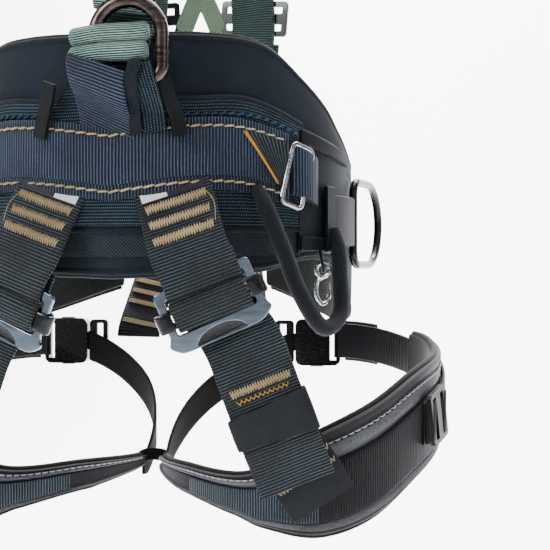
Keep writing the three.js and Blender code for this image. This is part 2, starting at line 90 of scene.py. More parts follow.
def along(table, at):
    """Value at each angle of a smooth curve through a short list of (angle, millimetres), in metres."""
    keys, values = np.array(table, float).T
    low = np.maximum(np.arange(len(keys)) - 1, 0)
    high = np.minimum(np.arange(len(keys)) + 1, len(keys) - 1)
    slopes = (values[high] - values[low]) / (keys[high] - keys[low])
    at = np.clip(np.asarray(at, float), keys[0], keys[-1])
    row = np.clip(np.searchsorted(keys, at, side="right") - 1, 0, len(keys) - 2)
    span = keys[row + 1] - keys[row]
    t = (at - keys[row]) / span
    ease = t * t * (3 - 2 * t)
    leaving = t * (1 - t) ** 2 * span * slopes[row]
    arriving = t * t * (t - 1) * span * slopes[row + 1]
    return (values[row] + (values[row + 1] - values[row]) * ease + leaving + arriving) * MM


def follow(table, shift=0.0):
    """The height given by a table, moved up by shift."""
    return lambda degrees: along(table, degrees) + shift


def level(height):
    """The same height all the way."""
    return lambda degrees: height + 0 * degrees


def around(degrees, z, out, half_width, half_depth, centre=(0, 0)):
    """Points on an upright ellipse, moved outward by out."""
    degrees, z, out = np.broadcast_arrays(*[np.asarray(a, float) for a in (degrees, z, out)])
    turn = np.radians(degrees)
    normal = unit(np.stack([np.sin(turn) / half_width, -np.cos(turn) / half_depth], -1))
    x = centre[0] + half_width * np.sin(turn) + normal[..., 0] * out
    y = centre[1] - half_depth * np.cos(turn) + normal[..., 1] * out
    return np.stack([x, y, z], -1)


def belt_point(degrees, z, out):
    return around(degrees, z, out, WAIST_HALF_WIDTH, WAIST_HALF_DEPTH)


def leg_point(degrees, z, out):
    return around(degrees, z, out, LEG_HALF_WIDTH, LEG_HALF_DEPTH, LEG_CENTRE)


class Band:
    """A strip of material. at(u, v, h) is the point at share u of its length and v of its width,
    h metres out from its inner face. mirror puts it on the wearer's left."""

    def __init__(self, thick, mirror=False):
        self.thick = thick
        self.mirror = mirror

    def at(self, u, v, h):
        points = self.place(*np.broadcast_arrays(*[np.asarray(a, float) for a in (u, v, h)]))
        return points * FLIP if self.mirror else points

    def length(self):
        return float(run_length(self.at(np.linspace(0, 1, 60), 0.5, 0))[-1])

    def width(self):
        return float(np.linalg.norm(self.at(0.5, 1, 0) - self.at(0.5, 0, 0)))


class BeltBand(Band):
    def __init__(self, start, end, bottom, top, inner, outer, mirror=False):
        super().__init__(outer - inner, mirror)
        self.start, self.end, self.bottom, self.top, self.inner = start, end, bottom, top, inner

    def place(self, u, v, h):
        degrees = self.start + (self.end - self.start) * u
        low, high = self.bottom(np.abs(degrees)), self.top(np.abs(degrees))
        return belt_point(degrees, low + (high - low) * v, self.inner + h)


class LegBand(Band):
    def __init__(self, start, end, height, inner, outer, mirror=False, rise=lambda at: 0.0):
        super().__init__(outer - inner, mirror)
        self.start, self.end, self.height, self.inner, self.rise = start, end, height, inner, rise

    def place(self, u, v, h):
        degrees = self.start + (self.end - self.start) * u
        z = along(LEG_MIDDLE, degrees) + self.rise(degrees) + (v - 0.5) * self.height(degrees)
        return leg_point(degrees, z, self.inner + h)


def smooth_path(points, count=400):
    """Centripetal Catmull-Rom curve through the points, evenly sampled by length."""
    points = np.asarray(points, float)
    ends = np.vstack([2 * points[0] - points[1], points, 2 * points[-1] - points[-2]])
    samples = []
    for p0, p1, p2, p3 in zip(ends, ends[1:], ends[2:], ends[3:]):
        knots = np.cumsum([0] + [max(np.linalg.norm(b - a), 1e-9) ** 0.5
                                 for a, b in ((p0, p1), (p1, p2), (p2, p3))])
        t = np.linspace(knots[1], knots[2], 60, endpoint=False)[:, None]
        mix = lambda a, b, i, j: (a * (knots[j] - t) / (knots[j] - knots[i])
                                  + b * (t - knots[i]) / (knots[j] - knots[i]))
        a1, a2, a3 = mix(p0, p1, 0, 1), mix(p1, p2, 1, 2), mix(p2, p3, 2, 3)
        b1, b2 = mix(a1, a2, 0, 2), mix(a2, a3, 1, 3)
        samples.append(mix(b1, b2, 1, 2))
    dense = np.vstack(samples + [points[-1:]])
    run = run_length(dense)
    even = np.linspace(0, run[-1], count)
    return np.stack([np.interp(even, run, dense[:, i]) for i in range(3)], -1)


class PathBand(Band):
    """A flat strap along a smooth path, its width lying along `across`."""

    def __init__(self, points, across, width, thick, mirror=False, skew=False):
        super().__init__(thick, mirror)
        self.skew = skew
        self.path = smooth_path(np.array(points, float) * MM)
        self.across = np.array(across if np.ndim(across) == 2 else [across, across], float)
        self.full_width = width

    def place(self, u, v, h):
        share = np.clip(u, 0, 1) * (len(self.path) - 1)
        whole = np.arange(len(self.path))
        tangents = np.gradient(self.path, axis=0)
        middle = np.stack([np.interp(share, whole, self.path[:, i]) for i in range(3)], -1)
        tangent = unit(np.stack([np.interp(share, whole, tangents[:, i]) for i in range(3)], -1))
        side = self.across[0] + (self.across[1] - self.across[0]) * np.asarray(u)[..., None]
        if not self.skew:
            side = side - (side * tangent).sum(-1, keepdims=True) * tangent
        side = unit(side)
        normal = unit(np.cross(tangent, side))
        return (middle + side * ((v - 0.5) * self.full_width)[..., None]
                + normal * (h - self.thick / 2)[..., None])


# ------------------------------------------------------------------ mesh building
def add_object(name, data):
    piece = bpy.data.objects.new(name, data)
    bpy.context.scene.collection.objects.link(piece)
    return piece


def finish_mesh(name, verts, faces, materials, uvs=None, face_material=None, sharp=40):
    """A smooth-shaded object from lists of points and faces, with its normals facing out."""
    mesh = bpy.data.meshes.new(name)
    mesh.from_pydata([tuple(p) for p in verts], [], faces)
    if uvs is not None:
        layer = mesh.uv_layers.new(name="Fabric")
        flat = np.array([uvs[i] for face in faces for i in face] if len(uvs) == len(verts) else uvs, float)
        layer.data.foreach_set("uv", flat.astype(np.float32).ravel())
    for material in materials:
        mesh.materials.append(material)
    if face_material is not None:
        mesh.polygons.foreach_set("material_index", np.array(face_material, np.int32))
    bm = bmesh.new()
    bm.from_mesh(mesh)
    bmesh.ops.recalc_face_normals(bm, faces=bm.faces)
    bm.to_mesh(mesh)
    bm.free()
    mesh.polygons.foreach_set("use_smooth", [True] * len(mesh.polygons))
    mesh.set_sharp_from_angle(angle=math.radians(sharp))
    return add_object(name, mesh)


def quads(rows, across, start=0, closed=False):
    """Faces between neighbouring rows of points, where each row runs round to its first point again."""
    faces = []
    for i in range(rows if closed else rows - 1):
        a, b = start + i * across, start + (i + 1) % rows * across
        for k in range(across):
            n = (k + 1) % across
            faces.append((a + k, a + n, b + n, b + k))
    return faces


def strip_section(across=8, edge=0.04):
    """Closed outline of a strip with rounded edges, as shares of its width and thickness."""
    top = [(v, 1.0) for v in np.linspace(edge, 1 - edge, across + 1)]
    side = [(1 - edge * 0.35, 0.92), (1, 0.68), (1, 0.32), (1 - edge * 0.35, 0.08)]
    bottom = [(v, 0.0) for v in np.linspace(1 - edge, edge, across + 1)]
    return np.array(top + side + bottom + [(1 - v, 1 - w) for v, w in side])


def loft(name, band, steps, materials, section=None, crown=None, face_material=None):
    """A closed skin along a band. crown(u, v, w) adds to the height above the inner face."""
    section = strip_section() if section is None else section
    across = len(section)
    u = np.repeat(np.linspace(0, 1, steps + 1), across)
    v = np.tile(section[:, 0], steps + 1)
    w = np.tile(section[:, 1], steps + 1)
    height = w * band.thick
    if crown is not None:
        height = height + crown(u, v, w)
    verts = band.at(u, v, height)
    uvs = np.stack([u * band.length(), v * band.width()], -1)
    faces = quads(steps + 1, across)
    slots = None
    if face_material is not None:
        slots = [face_material(section[k], section[(k + 1) % across]) for _ in range(steps)
                 for k in range(across)]
        slots += [0, 0]
    faces.append(tuple(range(across)))
    faces.append(tuple(reversed(range(steps * across, (steps + 1) * across))))
    return finish_mesh(name, verts, faces, materials, uvs, slots)


def tube(name, path, radius, material, sides=12, closed=False, flatten=1.0, up=(0, 0, 1)):
    """A round bar along sampled points. flatten thins it along `up`."""
    path = np.asarray(path, float)
    count = len(path)
    step = unit(np.roll(path, -1, 0) - np.roll(path, 1, 0) if closed else np.gradient(path, axis=0))
    side = unit(np.cross(step, np.broadcast_to(np.asarray(up, float), path.shape)))
    lift = np.cross(side, step)
    radius = np.broadcast_to(np.asarray(radius, float), (count,))
    turn = np.linspace(0, 2 * np.pi, sides, endpoint=False)
    verts = (path[:, None] + side[:, None] * (np.cos(turn) * radius[:, None])[..., None]
             + lift[:, None] * (np.sin(turn) * radius[:, None] * flatten)[..., None]).reshape(-1, 3)
    run = run_length(path)
    faces, uvs = quads(count, sides, 0, closed), []
    for i in range(count if closed else count - 1):
        j = (i + 1) % count
        far = run[j] if j else run[-1] + np.linalg.norm(path[0] - path[-1])
        for k in range(sides):
            a, b = k * 2 * np.pi * radius[i] / sides, (k + 1) * 2 * np.pi * radius[i] / sides
            uvs += [(run[i], a), (run[i], b), (far, b), (far, a)]
    if not closed:
        faces.append(tuple(reversed(range(sides))))
        faces.append(tuple(range((count - 1) * sides, count * sides)))
        uvs += [(0, 0)] * (2 * sides)
    return finish_mesh(name, verts, faces, [material], uvs)


THREAD_UP = np.array([0.31, 0.17, 0.93])  # any direction that no stitch runs along


def threads(name, runs, radius, material, sides=6):
    """Many short stitches as one mesh. Each run is a few points."""
    verts, faces = [], []
    for run in runs:
        run = np.asarray(run, float)
        step = unit(np.gradient(run, axis=0))
        side = unit(np.cross(step, THREAD_UP))
        lift = np.cross(side, step)
        start = len(verts)
        for i in range(len(run)):
            thin = 0.6 if i in (0, len(run) - 1) else 1.0
            for k in range(sides):
                a = 2 * math.pi * k / sides
                verts.append(run[i] + (side[i] * math.cos(a) + lift[i] * math.sin(a)) * radius * thin)
        faces += quads(len(run), sides, start)
        faces.append(tuple(start + k for k in reversed(range(sides))))
        faces.append(tuple(start + (len(run) - 1) * sides + k for k in range(sides)))
    return finish_mesh(name, verts, faces, [material])


def stitch_row(band, v, start, end, pitch, lift=0.0004, fill=0.62, lean=0.0):
    """Dashes of a stitch line on a band's outer face, at share v of its width, each leaning by lean."""
    count = max(2, int(band.length() * (end - start) / pitch))
    rows = []
    for k in range(count):
        a = start + (end - start) * (k + 0.5 - fill / 2) / count
        b = start + (end - start) * (k + 0.5 + fill / 2) / count
        u = np.array([a, a + (b - a) * 0.2, b - (b - a) * 0.2, b])
        level = v + np.array([-1, -0.6, 0.6, 1]) * lean
        rows.append(band.at(u, level, band.thick + np.array([-0.3, 1, 1, -0.3]) * lift))
    return rows


def bartack(band, u, v_start, v_end, length, pitch=1.5 * MM, lift=0.5 * MM, seed=1):
    """A zigzag of thread across the band at share u, `length` metres along it, its ends a little uneven."""
    uneven = np.random.default_rng(seed)
    count = int(band.width() * abs(v_end - v_start) / pitch)
    half = length / band.length() / 2
    rows = []
    for k in range(count):
        v = v_start + (v_end - v_start) * (np.arange(3) / 2 + k) / count
        low, high, next_low = half * (0.85 + 0.3 * uneven.random(3))
        middle = u + half * 0.12 * (uneven.random() - 0.5)
        for ends, sides in (((middle - low, middle + high), v[:2]),
                            ((middle + high, middle - next_low), v[1:])):
            share = np.array([0, 0.18, 0.82, 1])
            down = ends[0] + (ends[1] - ends[0]) * share
            rows.append(band.at(down, sides[0] + (sides[1] - sides[0]) * share,
                                band.thick + np.array([-0.2, 1, 1, -0.2]) * lift))
    return rows


def ride(piece, body="root", stands_for=()):
    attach(piece, body)
    if stands_for:
        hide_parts(*stands_for)
    return piece


def lay(name, band, steps, material, *shape, slot="black_webbing", stands_for=()):
    """A fixed piece of cloth along a band."""
    return ride(loft(name, band, steps, [material], *shape), "root", stands_for)


def sew(name, runs, radius, material):
    """A fixed set of stitches."""
    return ride(threads(name, runs, radius, material), "root")


# ------------------------------------------------------------------ materials
def linear(red, green, blue):
    """Linear colour from the 0 to 255 values of a display colour."""
    shares = [c / 255 for c in (red, green, blue)]
    return tuple(c / 12.92 if c <= 10 / 255 else ((c + 0.055) / 1.055) ** 2.4 for c in shares) + (1,)


class Shader:
    """A node material with a Principled surface."""

    def __init__(self, name, roughness, metallic=0.0, sheen=0.0, coat=0.0, specular=0.5):
        self.material = bpy.data.materials.new(name)
        self.material.use_nodes = True
        self.tree = self.material.node_tree
        self.surface = self.tree.nodes["Principled BSDF"]
        for socket, value in (("Roughness", roughness), ("Metallic", metallic), ("Sheen Weight", sheen),
                              ("Sheen Roughness", 0.4), ("Coat Weight", coat), ("Specular IOR Level", specular)):
            self.surface.inputs[socket].default_value = value

    def add(self, kind, **settings):
        node = self.tree.nodes.new(kind)
        for key, value in settings.items():
            setattr(node, key, value)
        return node

    def link(self, source, target):
        if isinstance(source, (int, float)):
            target.default_value = source
        else:
            self.tree.links.new(source, target)

    def math(self, operation, *values):
        node = self.add("ShaderNodeMath", operation=operation)
        for value, socket in zip(values, node.inputs):
            self.link(value, socket)
        return node.outputs[0]

    def total(self, *terms):
        """The sum of values, each times its weight."""
        parts = [self.math("MULTIPLY", value, weight) for value, weight in terms]
        result = parts[0]
        for part in parts[1:]:
            result = self.math("ADD", result, part)
        return result

    def axes(self):
        """Distance along and across a woven strip, in metres."""
        uv = self.add("ShaderNodeUVMap", uv_map="Fabric")
        split = self.add("ShaderNodeSeparateXYZ")
        self.link(uv.outputs[0], split.inputs[0])
        return split.outputs[0], split.outputs[1]

    def wave(self, distance, pitch, shift=0.0):
        """A wave from 0 to 1 along a distance."""
        turn = self.math("MULTIPLY", distance, 2 * math.pi / pitch)
        return self.math("MULTIPLY_ADD", self.math("COSINE", self.math("ADD", turn, shift)), 0.5, 0.5)

    def noise(self, scale, detail=3.0, stretch=None):
        coordinates = self.add("ShaderNodeTexCoord").outputs["Object"]
        if stretch:
            mapping = self.add("ShaderNodeMapping")
            mapping.inputs["Scale"].default_value = stretch
            self.link(coordinates, mapping.inputs[0])
            coordinates = mapping.outputs[0]
        node = self.add("ShaderNodeTexNoise")
        node.inputs["Scale"].default_value = scale
        node.inputs["Detail"].default_value = detail
        self.link(coordinates, node.inputs["Vector"])
        return node.outputs[0]

    def ramp(self, value, *stops):
        """Colour from a value, with stops of (position, colour). Three numbers are a display colour."""
        node = self.add("ShaderNodeValToRGB")
        elements = node.color_ramp.elements
        while len(elements) < len(stops):
            elements.new(0.5)
        for element, (position, color) in zip(elements, stops):
            element.position = position
            element.color = color if len(color) == 4 else linear(*color)
        self.link(value, node.inputs[0])
        return node.outputs[0]

    def finish(self, color, height, depth, strength=0.8, rough=None):
        self.link(color, self.surface.inputs["Base Color"])
        if rough is not None:
            self.link(rough, self.surface.inputs["Roughness"])
        bump = self.add("ShaderNodeBump")
        bump.inputs["Strength"].default_value = strength
        bump.inputs["Distance"].default_value = depth
        self.link(height, bump.inputs["Height"])
        self.link(bump.outputs[0], self.surface.inputs["Normal"])
        return self.material


def woven(name, dark, middle, light, rib, yarn, depth=0.0005, ribs_across=True):
    """Webbing: ribs `rib` apart and faint yarns `yarn` apart, with worn and dusty patches. The yarns' relief
    is weighted by the distance across the strip in metres, so it is far weaker than the ribs'."""
    s = Shader(name, 0.62, sheen=0.04, specular=0.22)
    run, cross = s.axes()
    if not ribs_across:
        run, cross = cross, run
    sway = s.math("MULTIPLY", s.noise(60, 2), rib * 0.5)
    ribs = s.wave(s.math("ADD", run, sway), rib)
    phase = s.math("MULTIPLY", s.math("FLOOR", s.math("DIVIDE", run, rib)), math.pi)
    yarns = s.wave(cross, yarn, phase)
    hair = s.noise(900, 4)
    height = s.total((ribs, 0.76), (yarns, cross), (hair, 0.22))
    patches = s.noise(34, 5)
    # Colour follows the relief: painted highlight on the rib crests (light stop), painted shade in the grooves
    # (dark stop), varied by worn and dusty patches.
    color = s.ramp(s.total((height, 0.78), (patches, 0.26)), (0.36, dark), (0.68, middle), (0.99, light))
    rough = s.math("MULTIPLY_ADD", patches, 0.25, 0.45)
    return s.finish(color, height, depth, 1.0, rough)


def twill(name, dark, light, pitch, depth=0.0003):
    """Diagonal weave, for bindings and mesh."""
    s = Shader(name, 0.75, sheen=0.03, specular=0.18)
    run, cross = s.axes()
    diagonal = s.wave(s.math("ADD", run, cross), pitch)
    counter = s.wave(s.math("SUBTRACT", run, cross), pitch * 0.5)
    hair = s.noise(800, 4)
    height = s.total((diagonal, 0.6), (counter, 0.2), (hair, 0.3))
    return s.finish(s.ramp(height, (0.28, dark), (0.92, light)), height, depth)


def spacer_mesh(name, dark, middle, light, pitch):
    """Open spacer mesh: rows of small dark cells between chevron ribs."""
    s = Shader(name, 0.85, sheen=0.03, specular=0.18)
    run, cross = s.axes()
    row = s.math("FLOOR", s.math("DIVIDE", cross, pitch))
    lean = s.math("MULTIPLY_ADD", s.math("MODULO", s.math("ABSOLUTE", row), 2.0), 2.0, -1.0)
    slanted = s.math("ADD", run, s.math("MULTIPLY", cross, lean))
    ribs = s.wave(slanted, pitch * 0.8)
    rows = s.wave(cross, pitch)
    cells = s.math("MULTIPLY", ribs, s.math("SUBTRACT", 1.15, rows))
    hair = s.noise(900, 4)
    height = s.total((cells, 0.8), (hair, 0.25))
    patches = s.noise(30, 3)
    tone = s.math("MULTIPLY", height, s.math("MULTIPLY_ADD", patches, 0.7, 0.6))
    return s.finish(s.ramp(tone, (0.15, dark), (0.5, middle), (0.9, light)), height, 0.9 * MM)


def smooth_cloth(name, dark, light, grain=1400, depth=0.00012, sheen=0.05, rough=0.85):
    """Tightly knitted cloth over foam: fine grain, soft sheen and slow tone changes."""
    s = Shader(name, rough, sheen=sheen, specular=0.2)
    hair = s.noise(grain, 5)
    patches = s.noise(26, 4)
    tone = s.total((hair, 0.6), (patches, 0.45))
    return s.finish(s.ramp(tone, (0.3, dark), (0.8, light)), hair, depth, 0.7)


def metal(name, dark, light, rough, metallic=1.0, scratches=220, coat=0.0):
    """Polished or coated metal with handling marks."""
    s = Shader(name, rough, metallic=metallic, coat=coat)
    marks = s.noise(scratches, 6, stretch=(1, 1, 6))
    smears = s.noise(45, 3)
    color = s.ramp(s.total((marks, 0.5), (smears, 0.5)), (0.35, dark), (0.68, light))
    roughness = s.math("MULTIPLY_ADD", marks, 0.22, rough - 0.08)
    return s.finish(color, marks, 0.08 * MM, 0.35, roughness)


# Each webbing's light colour is a painted highlight on its rib crests, and its dark colour painted shade in the
# grooves.
WEAVE = woven("black_webbing_weave", (0, 2, 7), (15, 25, 42), (94, 118, 148), 1.9 * MM, 1.5 * MM)
NAVY_WEAVE = woven("navy_webbing_weave", (1, 3, 11), (19, 29, 46), (94, 116, 148), 1.9 * MM, 1.5 * MM)
RISER_WEAVE = woven("riser_webbing_weave", (0, 0, 1), (4, 7, 9), (90, 109, 122), 1.85 * MM, 1.3 * MM,
                    depth=0.0007)
LEG_PALE_WEAVE = woven("leg_band_pale_weave", (4, 8, 12), (34, 44, 54), (118, 134, 148), 1.6 * MM, 1.2 * MM)
LEG_WEAVE = woven("leg_webbing_weave", (0, 0, 1), (8, 7, 11), (52, 52, 60), 1.7 * MM, 1.5 * MM)
GREEN_WEAVE = woven("sage_webbing_weave", (12, 44, 38), (104, 142, 134), (222, 242, 238), 1.7 * MM,
                    1.2 * MM, depth=0.0007)
# The sage webbing darkened as painted shade, for the back strap behind the rear ring and the strap below each
# adjuster.
SHADED_GREEN_WEAVE = woven("shaded_sage_webbing_weave", (4, 14, 12), (26, 50, 46), (84, 116, 108), 1.7 * MM,
                         1.4 * MM)
# Near-white light stop: painted glossy highlight along the folds' ribs.
GREEN_ROLL = woven("sage_folded_weave", (4, 38, 30), (92, 134, 120), (232, 250, 245), 1.35 * MM, 1.4 * MM,
                   depth=0.0007, ribs_across=False)
OLIVE_WEAVE = woven("olive_webbing_weave", (54, 72, 54), (104, 126, 104), (146, 164, 140), 1.3 * MM,
                    1.1 * MM, depth=0.0002)
BINDING = twill("bound_edge_twill", (0, 1, 2), (30, 38, 46), 1.2 * MM)
STRIP_TWILL = twill("lower_strip_twill", (1, 3, 5), (50, 60, 68), 2.0 * MM, depth=0.0005)
MESH = spacer_mesh("spacer_mesh_cloth", (0, 6, 10), (17, 31, 40), (84, 110, 124), 1.8 * MM)
DOME = smooth_cloth("navy_shell_cloth", (7, 11, 17), (26, 35, 46))
LINING = smooth_cloth("dark_lining_fleece", (6, 8, 8), (34, 36, 34), 500, 0.0006, 0.1, 0.95)
COATED = smooth_cloth("coated_panel_cloth", (0, 2, 4), (11, 16, 22), 700, 0.00015, 0.0, 0.5)
LEG_CLOTH = smooth_cloth("grey_panel_cloth", (9, 8, 11), (36, 34, 39), 1100, 0.0002, 0.05, 0.6)
LEG_STRIP = smooth_cloth("grey_strip_cloth", (52, 52, 58), (112, 113, 118), 900, 0.0002, 0.05, 0.6)
CROTCH_CLOTH = smooth_cloth("dark_strap_cloth", (2, 2, 2), (15, 13, 12), 900, 0.0002, 0.0, 0.95)
LEG_EDGE = twill("leg_edge_tape", (1, 1, 1), (34, 29, 29), 1.6 * MM)
ELASTIC = woven("elastic_band_weave", (1, 2, 4), (10, 14, 19), (42, 51, 62), 0.9 * MM, 1.1 * MM, depth=0.0002)
BRAID = twill("braided_sleeve", (0, 0, 1), (24, 29, 37), 1.5 * MM, depth=0.0006)
THREAD = smooth_cloth("tan_thread", (92, 74, 46), (204, 182, 140), 2500, 0.00008, 0.05, 0.6)
GOLD_THREAD = smooth_cloth("gold_thread", (128, 84, 20), (216, 160, 60), 2500, 0.00008, 0.05, 0.5)
PALE_THREAD = smooth_cloth("pale_thread", (120, 124, 130), (200, 204, 208), 2500, 0.00008, 0.05, 0.6)
NAVY_THREAD = smooth_cloth("navy_thread", (4, 14, 30), (40, 62, 92), 2500, 0.00008, 0.05, 0.6)
LABEL = smooth_cloth("blank_label", (170, 168, 172), (226, 226, 229), 1500, 0.0001, 0.02, 0.6)
LABEL_DARK = smooth_cloth("blank_label_dark_half", (14, 15, 18), (38, 40, 44), 1500, 0.0001, 0.02, 0.6)
BRONZE = metal("bronze_finish", (34, 22, 17), (104, 92, 88), 0.22, scratches=90)
BLACK_METAL = metal("black_metal_finish", (4, 4, 5), (26, 27, 30), 0.22, 0.6, coat=0.3)
GREY_METAL = metal("grey_metal_finish", (84, 94, 104), (128, 140, 152), 0.16, scratches=60)
CHROME = metal("chrome_finish", (96, 98, 102), (206, 208, 212), 0.14)
BRASS = metal("brass_finish", (120, 92, 48), (206, 170, 104), 0.25)
PLASTIC = smooth_cloth("black_moulded_plastic", (4, 4, 6), (18, 19, 22), 300, 0.00008, 0.0, 0.38)


# ------------------------------------------------------------------ hard parts carried over from the design
def polished(node, material, bevel=0.5 * MM, segments=3):
    """The designed solid with its edges rounded and its faces cleaned up."""
    piece = add_object(node + "_finished", frame["nodes"][node].data.copy())
    piece.data.materials.clear()
    piece.data.materials.append(material)
    bm = bmesh.new()
    bm.from_mesh(piece.data)
    bmesh.ops.remove_doubles(bm, verts=bm.verts, dist=0.01 * MM)
    bmesh.ops.dissolve_limit(bm, angle_limit=math.radians(1), verts=bm.verts, edges=bm.edges)
    bm.to_mesh(piece.data)
    bm.free()
    modifier = piece.modifiers.new("rounded_edges", "BEVEL")
    modifier.width = bevel
    modifier.segments = segments
    modifier.limit_method = "ANGLE"
    modifier.angle_limit = math.radians(30)
    modifier.harden_normals = True
    piece.data.polygons.foreach_set("use_smooth", [True] * len(piece.data.polygons))
    piece.data.set_sharp_from_angle(angle=math.radians(32))
    return ride(piece, BODY_OF[node], [node])


# ------------------------------------------------------------------ waist belt
def edge_path(table, start, end, out, lift=0.0, count=260):
    degrees = np.linspace(start, end, count)
    return belt_point(degrees, along(table, np.abs(degrees)) + lift, out)


def waist_pad():
    pad = BeltBand(-152, 152, follow(PAD_BOTTOM), follow(PAD_TOP), -4.4 * MM, 4.4 * MM)
    crown = lambda u, v, w: (w - 0.5) * 2.4 * MM * np.sin(np.pi * v) ** 0.5
    inside = lambda a, b: 1 if a[1] + b[1] < 0.9 else 0
    shell = loft("waist_pad_shell", pad, 150, [DOME, LINING], strip_section(14, 0.035), crown, inside)
    ride(shell, "root", ["waist_pad"])
    for name, table, sign in (("top", PAD_TOP, 1), ("bottom", PAD_BOTTOM, -1)):
        for row, (out, drop) in enumerate([(3.2, 1.2), (1.4, -0.6)]):
            path = edge_path(table, -151.5, 151.5, out * MM, -sign * drop * MM)
            piece = tube(f"pad_{name}_piping_{row}", path, 1.9 * MM, BINDING)
            ride(piece, "root")


def belt_sleeve():
    sleeve = BeltBand(-53, 53, follow(SLEEVE_BOTTOM), follow(SLEEVE_TOP), 5.6 * MM, 8 * MM)
    crown = lambda u, v, w: w * 1.2 * MM * np.sin(np.pi * np.clip(v, 0, 1)) ** 0.4
    lay("belt_sleeve_mesh", sleeve, 90, MESH, strip_section(12, 0.03), crown, slot="mesh_fabric",
        stands_for=["belt_sleeve"])
    strip = BeltBand(-53, 53, follow(SLEEVE_BOTTOM, -15 * MM), follow(SLEEVE_BOTTOM, 1 * MM), 5.4 * MM,
                     6.4 * MM)
    lay("belt_lower_strip", strip, 90, STRIP_TWILL, strip_section(6, 0.06), slot="mesh_fabric")
    for name, table in (("upper", SLEEVE_TOP), ("lower", SLEEVE_BOTTOM)):
        path = edge_path(table, -53, 53, 7.2 * MM)
        ride(tube(f"sleeve_{name}_binding", path, 1.7 * MM, BINDING), "root")
    rows = stitch_row(sleeve, 0.875, 0.02, 0.98, 5.2 * MM, 1.7 * MM, 0.86, 0.012)
    sew("sleeve_quilting_stitches", rows, 0.8 * MM, NAVY_THREAD)


def belt_band(start, end, inner=10.9, outer=13.4, low=-21.5, high=20, mirror=False):
    return BeltBand(start, end, follow(BELT_MIDDLE, low * MM), follow(BELT_MIDDLE, high * MM),
                    inner * MM, outer * MM, mirror)


class SlantedBelt(BeltBand):
    """A stretch of belt whose near end is cut on a slant, `cut` degrees further back at the top."""
    cut = 10

    def place(self, u, v, h):
        near = self.start - self.cut * v
        degrees = near + (self.end - near) * u
        low, high = self.bottom(degrees), self.top(degrees)
        return belt_point(degrees, low + (high - low) * v, self.inner + h)


def belt_webbing():
    base = belt_band(-47, 47, 10.9, 12.1)
    lay("belt_webbing_base", base, 110, WEAVE, stands_for=["belt_webbing"])
    cover = belt_band(-42, 42, 12.2, 13.2, -13, 14)
    lay("belt_webbing_cover", cover, 90, NAVY_WEAVE)
    rows = stitch_row(base, 0.88, 0.02, 0.98, 6.4 * MM, 0.8 * MM, 0.93, 0.011)
    rows += stitch_row(base, 0.12, 0.02, 0.98, 6.4 * MM, 0.8 * MM, 0.93, 0.011)
    sew("belt_tan_stitches", rows, 0.65 * MM, THREAD)
    for side, mirror in SIDES:
        slant = SlantedBelt(42.7, 46.2, follow(BELT_MIDDLE, -12.5 * MM), follow(BELT_MIDDLE, 13.5 * MM),
                            13.3 * MM, 14 * MM, mirror)
        lay(f"belt_folded_end_{side}", slant, 20, RISER_WEAVE)
        v = np.linspace(0.02, 0.98, 24)
        seams = [slant.at(0.004 + shift, v, 1.1 * MM) for shift in (0.0, 0.05)]
        sew(f"belt_slant_seam_{side}", seams, 0.42 * MM, GOLD_THREAD)


def front_belt(side, mirror):
    band = belt_band(93, 169, 5.6, 8, -22, 22, mirror)
    lay(f"front_belt_webbing_{side}", band, 60, WEAVE, stands_for=[f"front_belt_{side}"])
    hidden = belt_band(53, 93.5, 5.5, 6.4, -22, 22, mirror)
    lay(f"side_belt_webbing_{side}", hidden, 30, WEAVE)


def hip_panel(side, mirror):
    top = lambda a: (87 - (a - 54) * 0.5) * MM
    foot = 13 * MM
    panel = BeltBand(51.5, 75, level(foot), top, 6.8 * MM, 8.4 * MM, mirror)
    crown = lambda u, v, w: w * 0.9 * MM * np.sin(np.pi * v) ** 0.5
    lay(f"hip_panel_cover_{side}", panel, 26, COATED, strip_section(10, 0.03), crown, slot="coated_fabric",
        stands_for=[f"hip_panel_{side}"])
    for name, low in (("top", 0.86), ("bottom", 0.02)):
        at_share = lambda share: lambda a: foot + (top(a) - foot) * share
        hem = BeltBand(52, 74.5, at_share(low), at_share(low + 0.12), 9 * MM, 9.9 * MM, mirror)
        lay(f"hip_panel_{name}_hem_{side}", hem, 24, COATED, slot="coated_fabric")
        rows = stitch_row(hem, 0.12 if low > 0.5 else 0.9, 0.03, 0.97, 3.4 * MM, 0.3 * MM, 0.7)
        sew(f"hip_panel_{name}_seam_{side}", rows, 0.28 * MM, NAVY_THREAD)
    tab = belt_band(47.6, 57.5, 8.8, 11.8, -14.5, 14.5, mirror)
    bulge = lambda u, v, w: w * 3.4 * MM * np.sin(np.pi * np.clip(u * 1.02, 0, 1)) ** 0.7
    lay(f"slider_tab_webbing_{side}", tab, 30, NAVY_WEAVE, strip_section(8, 0.05), bulge)
    ring_tab = BeltBand(62.5, 80.5, level(18 * MM), level(49 * MM), 9.2 * MM, 12.4 * MM, mirror)
    lay(f"hip_ring_webbing_{side}", ring_tab, 24, COATED, strip_section(8, 0.05))
    cuff = BeltBand(61, 64.5, level(14 * MM), level(54 * MM), 10.2 * MM, 13 * MM, mirror)
    lay(f"hip_ring_cuff_{side}", cuff, 8, ELASTIC, strip_section(8, 0.05))


# ------------------------------------------------------------------ rings
def rounded_outline(width, height, near, far, count=160):
    """Points round a rectangle with rounded corners, sampled evenly. near is the corner size on the -X side."""
    x, y = width / 2, height / 2
    corners = [(x - far, y - far, far, 0), (-x + near, y - near, near, 90),
               (-x + near, -y + near, near, 180), (x - far, -y + far, far, 270)]
    dense = []
    for cx, cy, radius, start in corners:
        for a in np.radians(np.linspace(start, start + 90, 24)):
            dense.append((cx + radius * math.cos(a), cy + radius * math.sin(a)))
    dense = np.array(dense + dense[:1])
    run = run_length(dense)
    even = np.linspace(0, run[-1], count, endpoint=False)
    return np.stack([np.interp(even, run, dense[:, i]) for i in range(2)], -1)


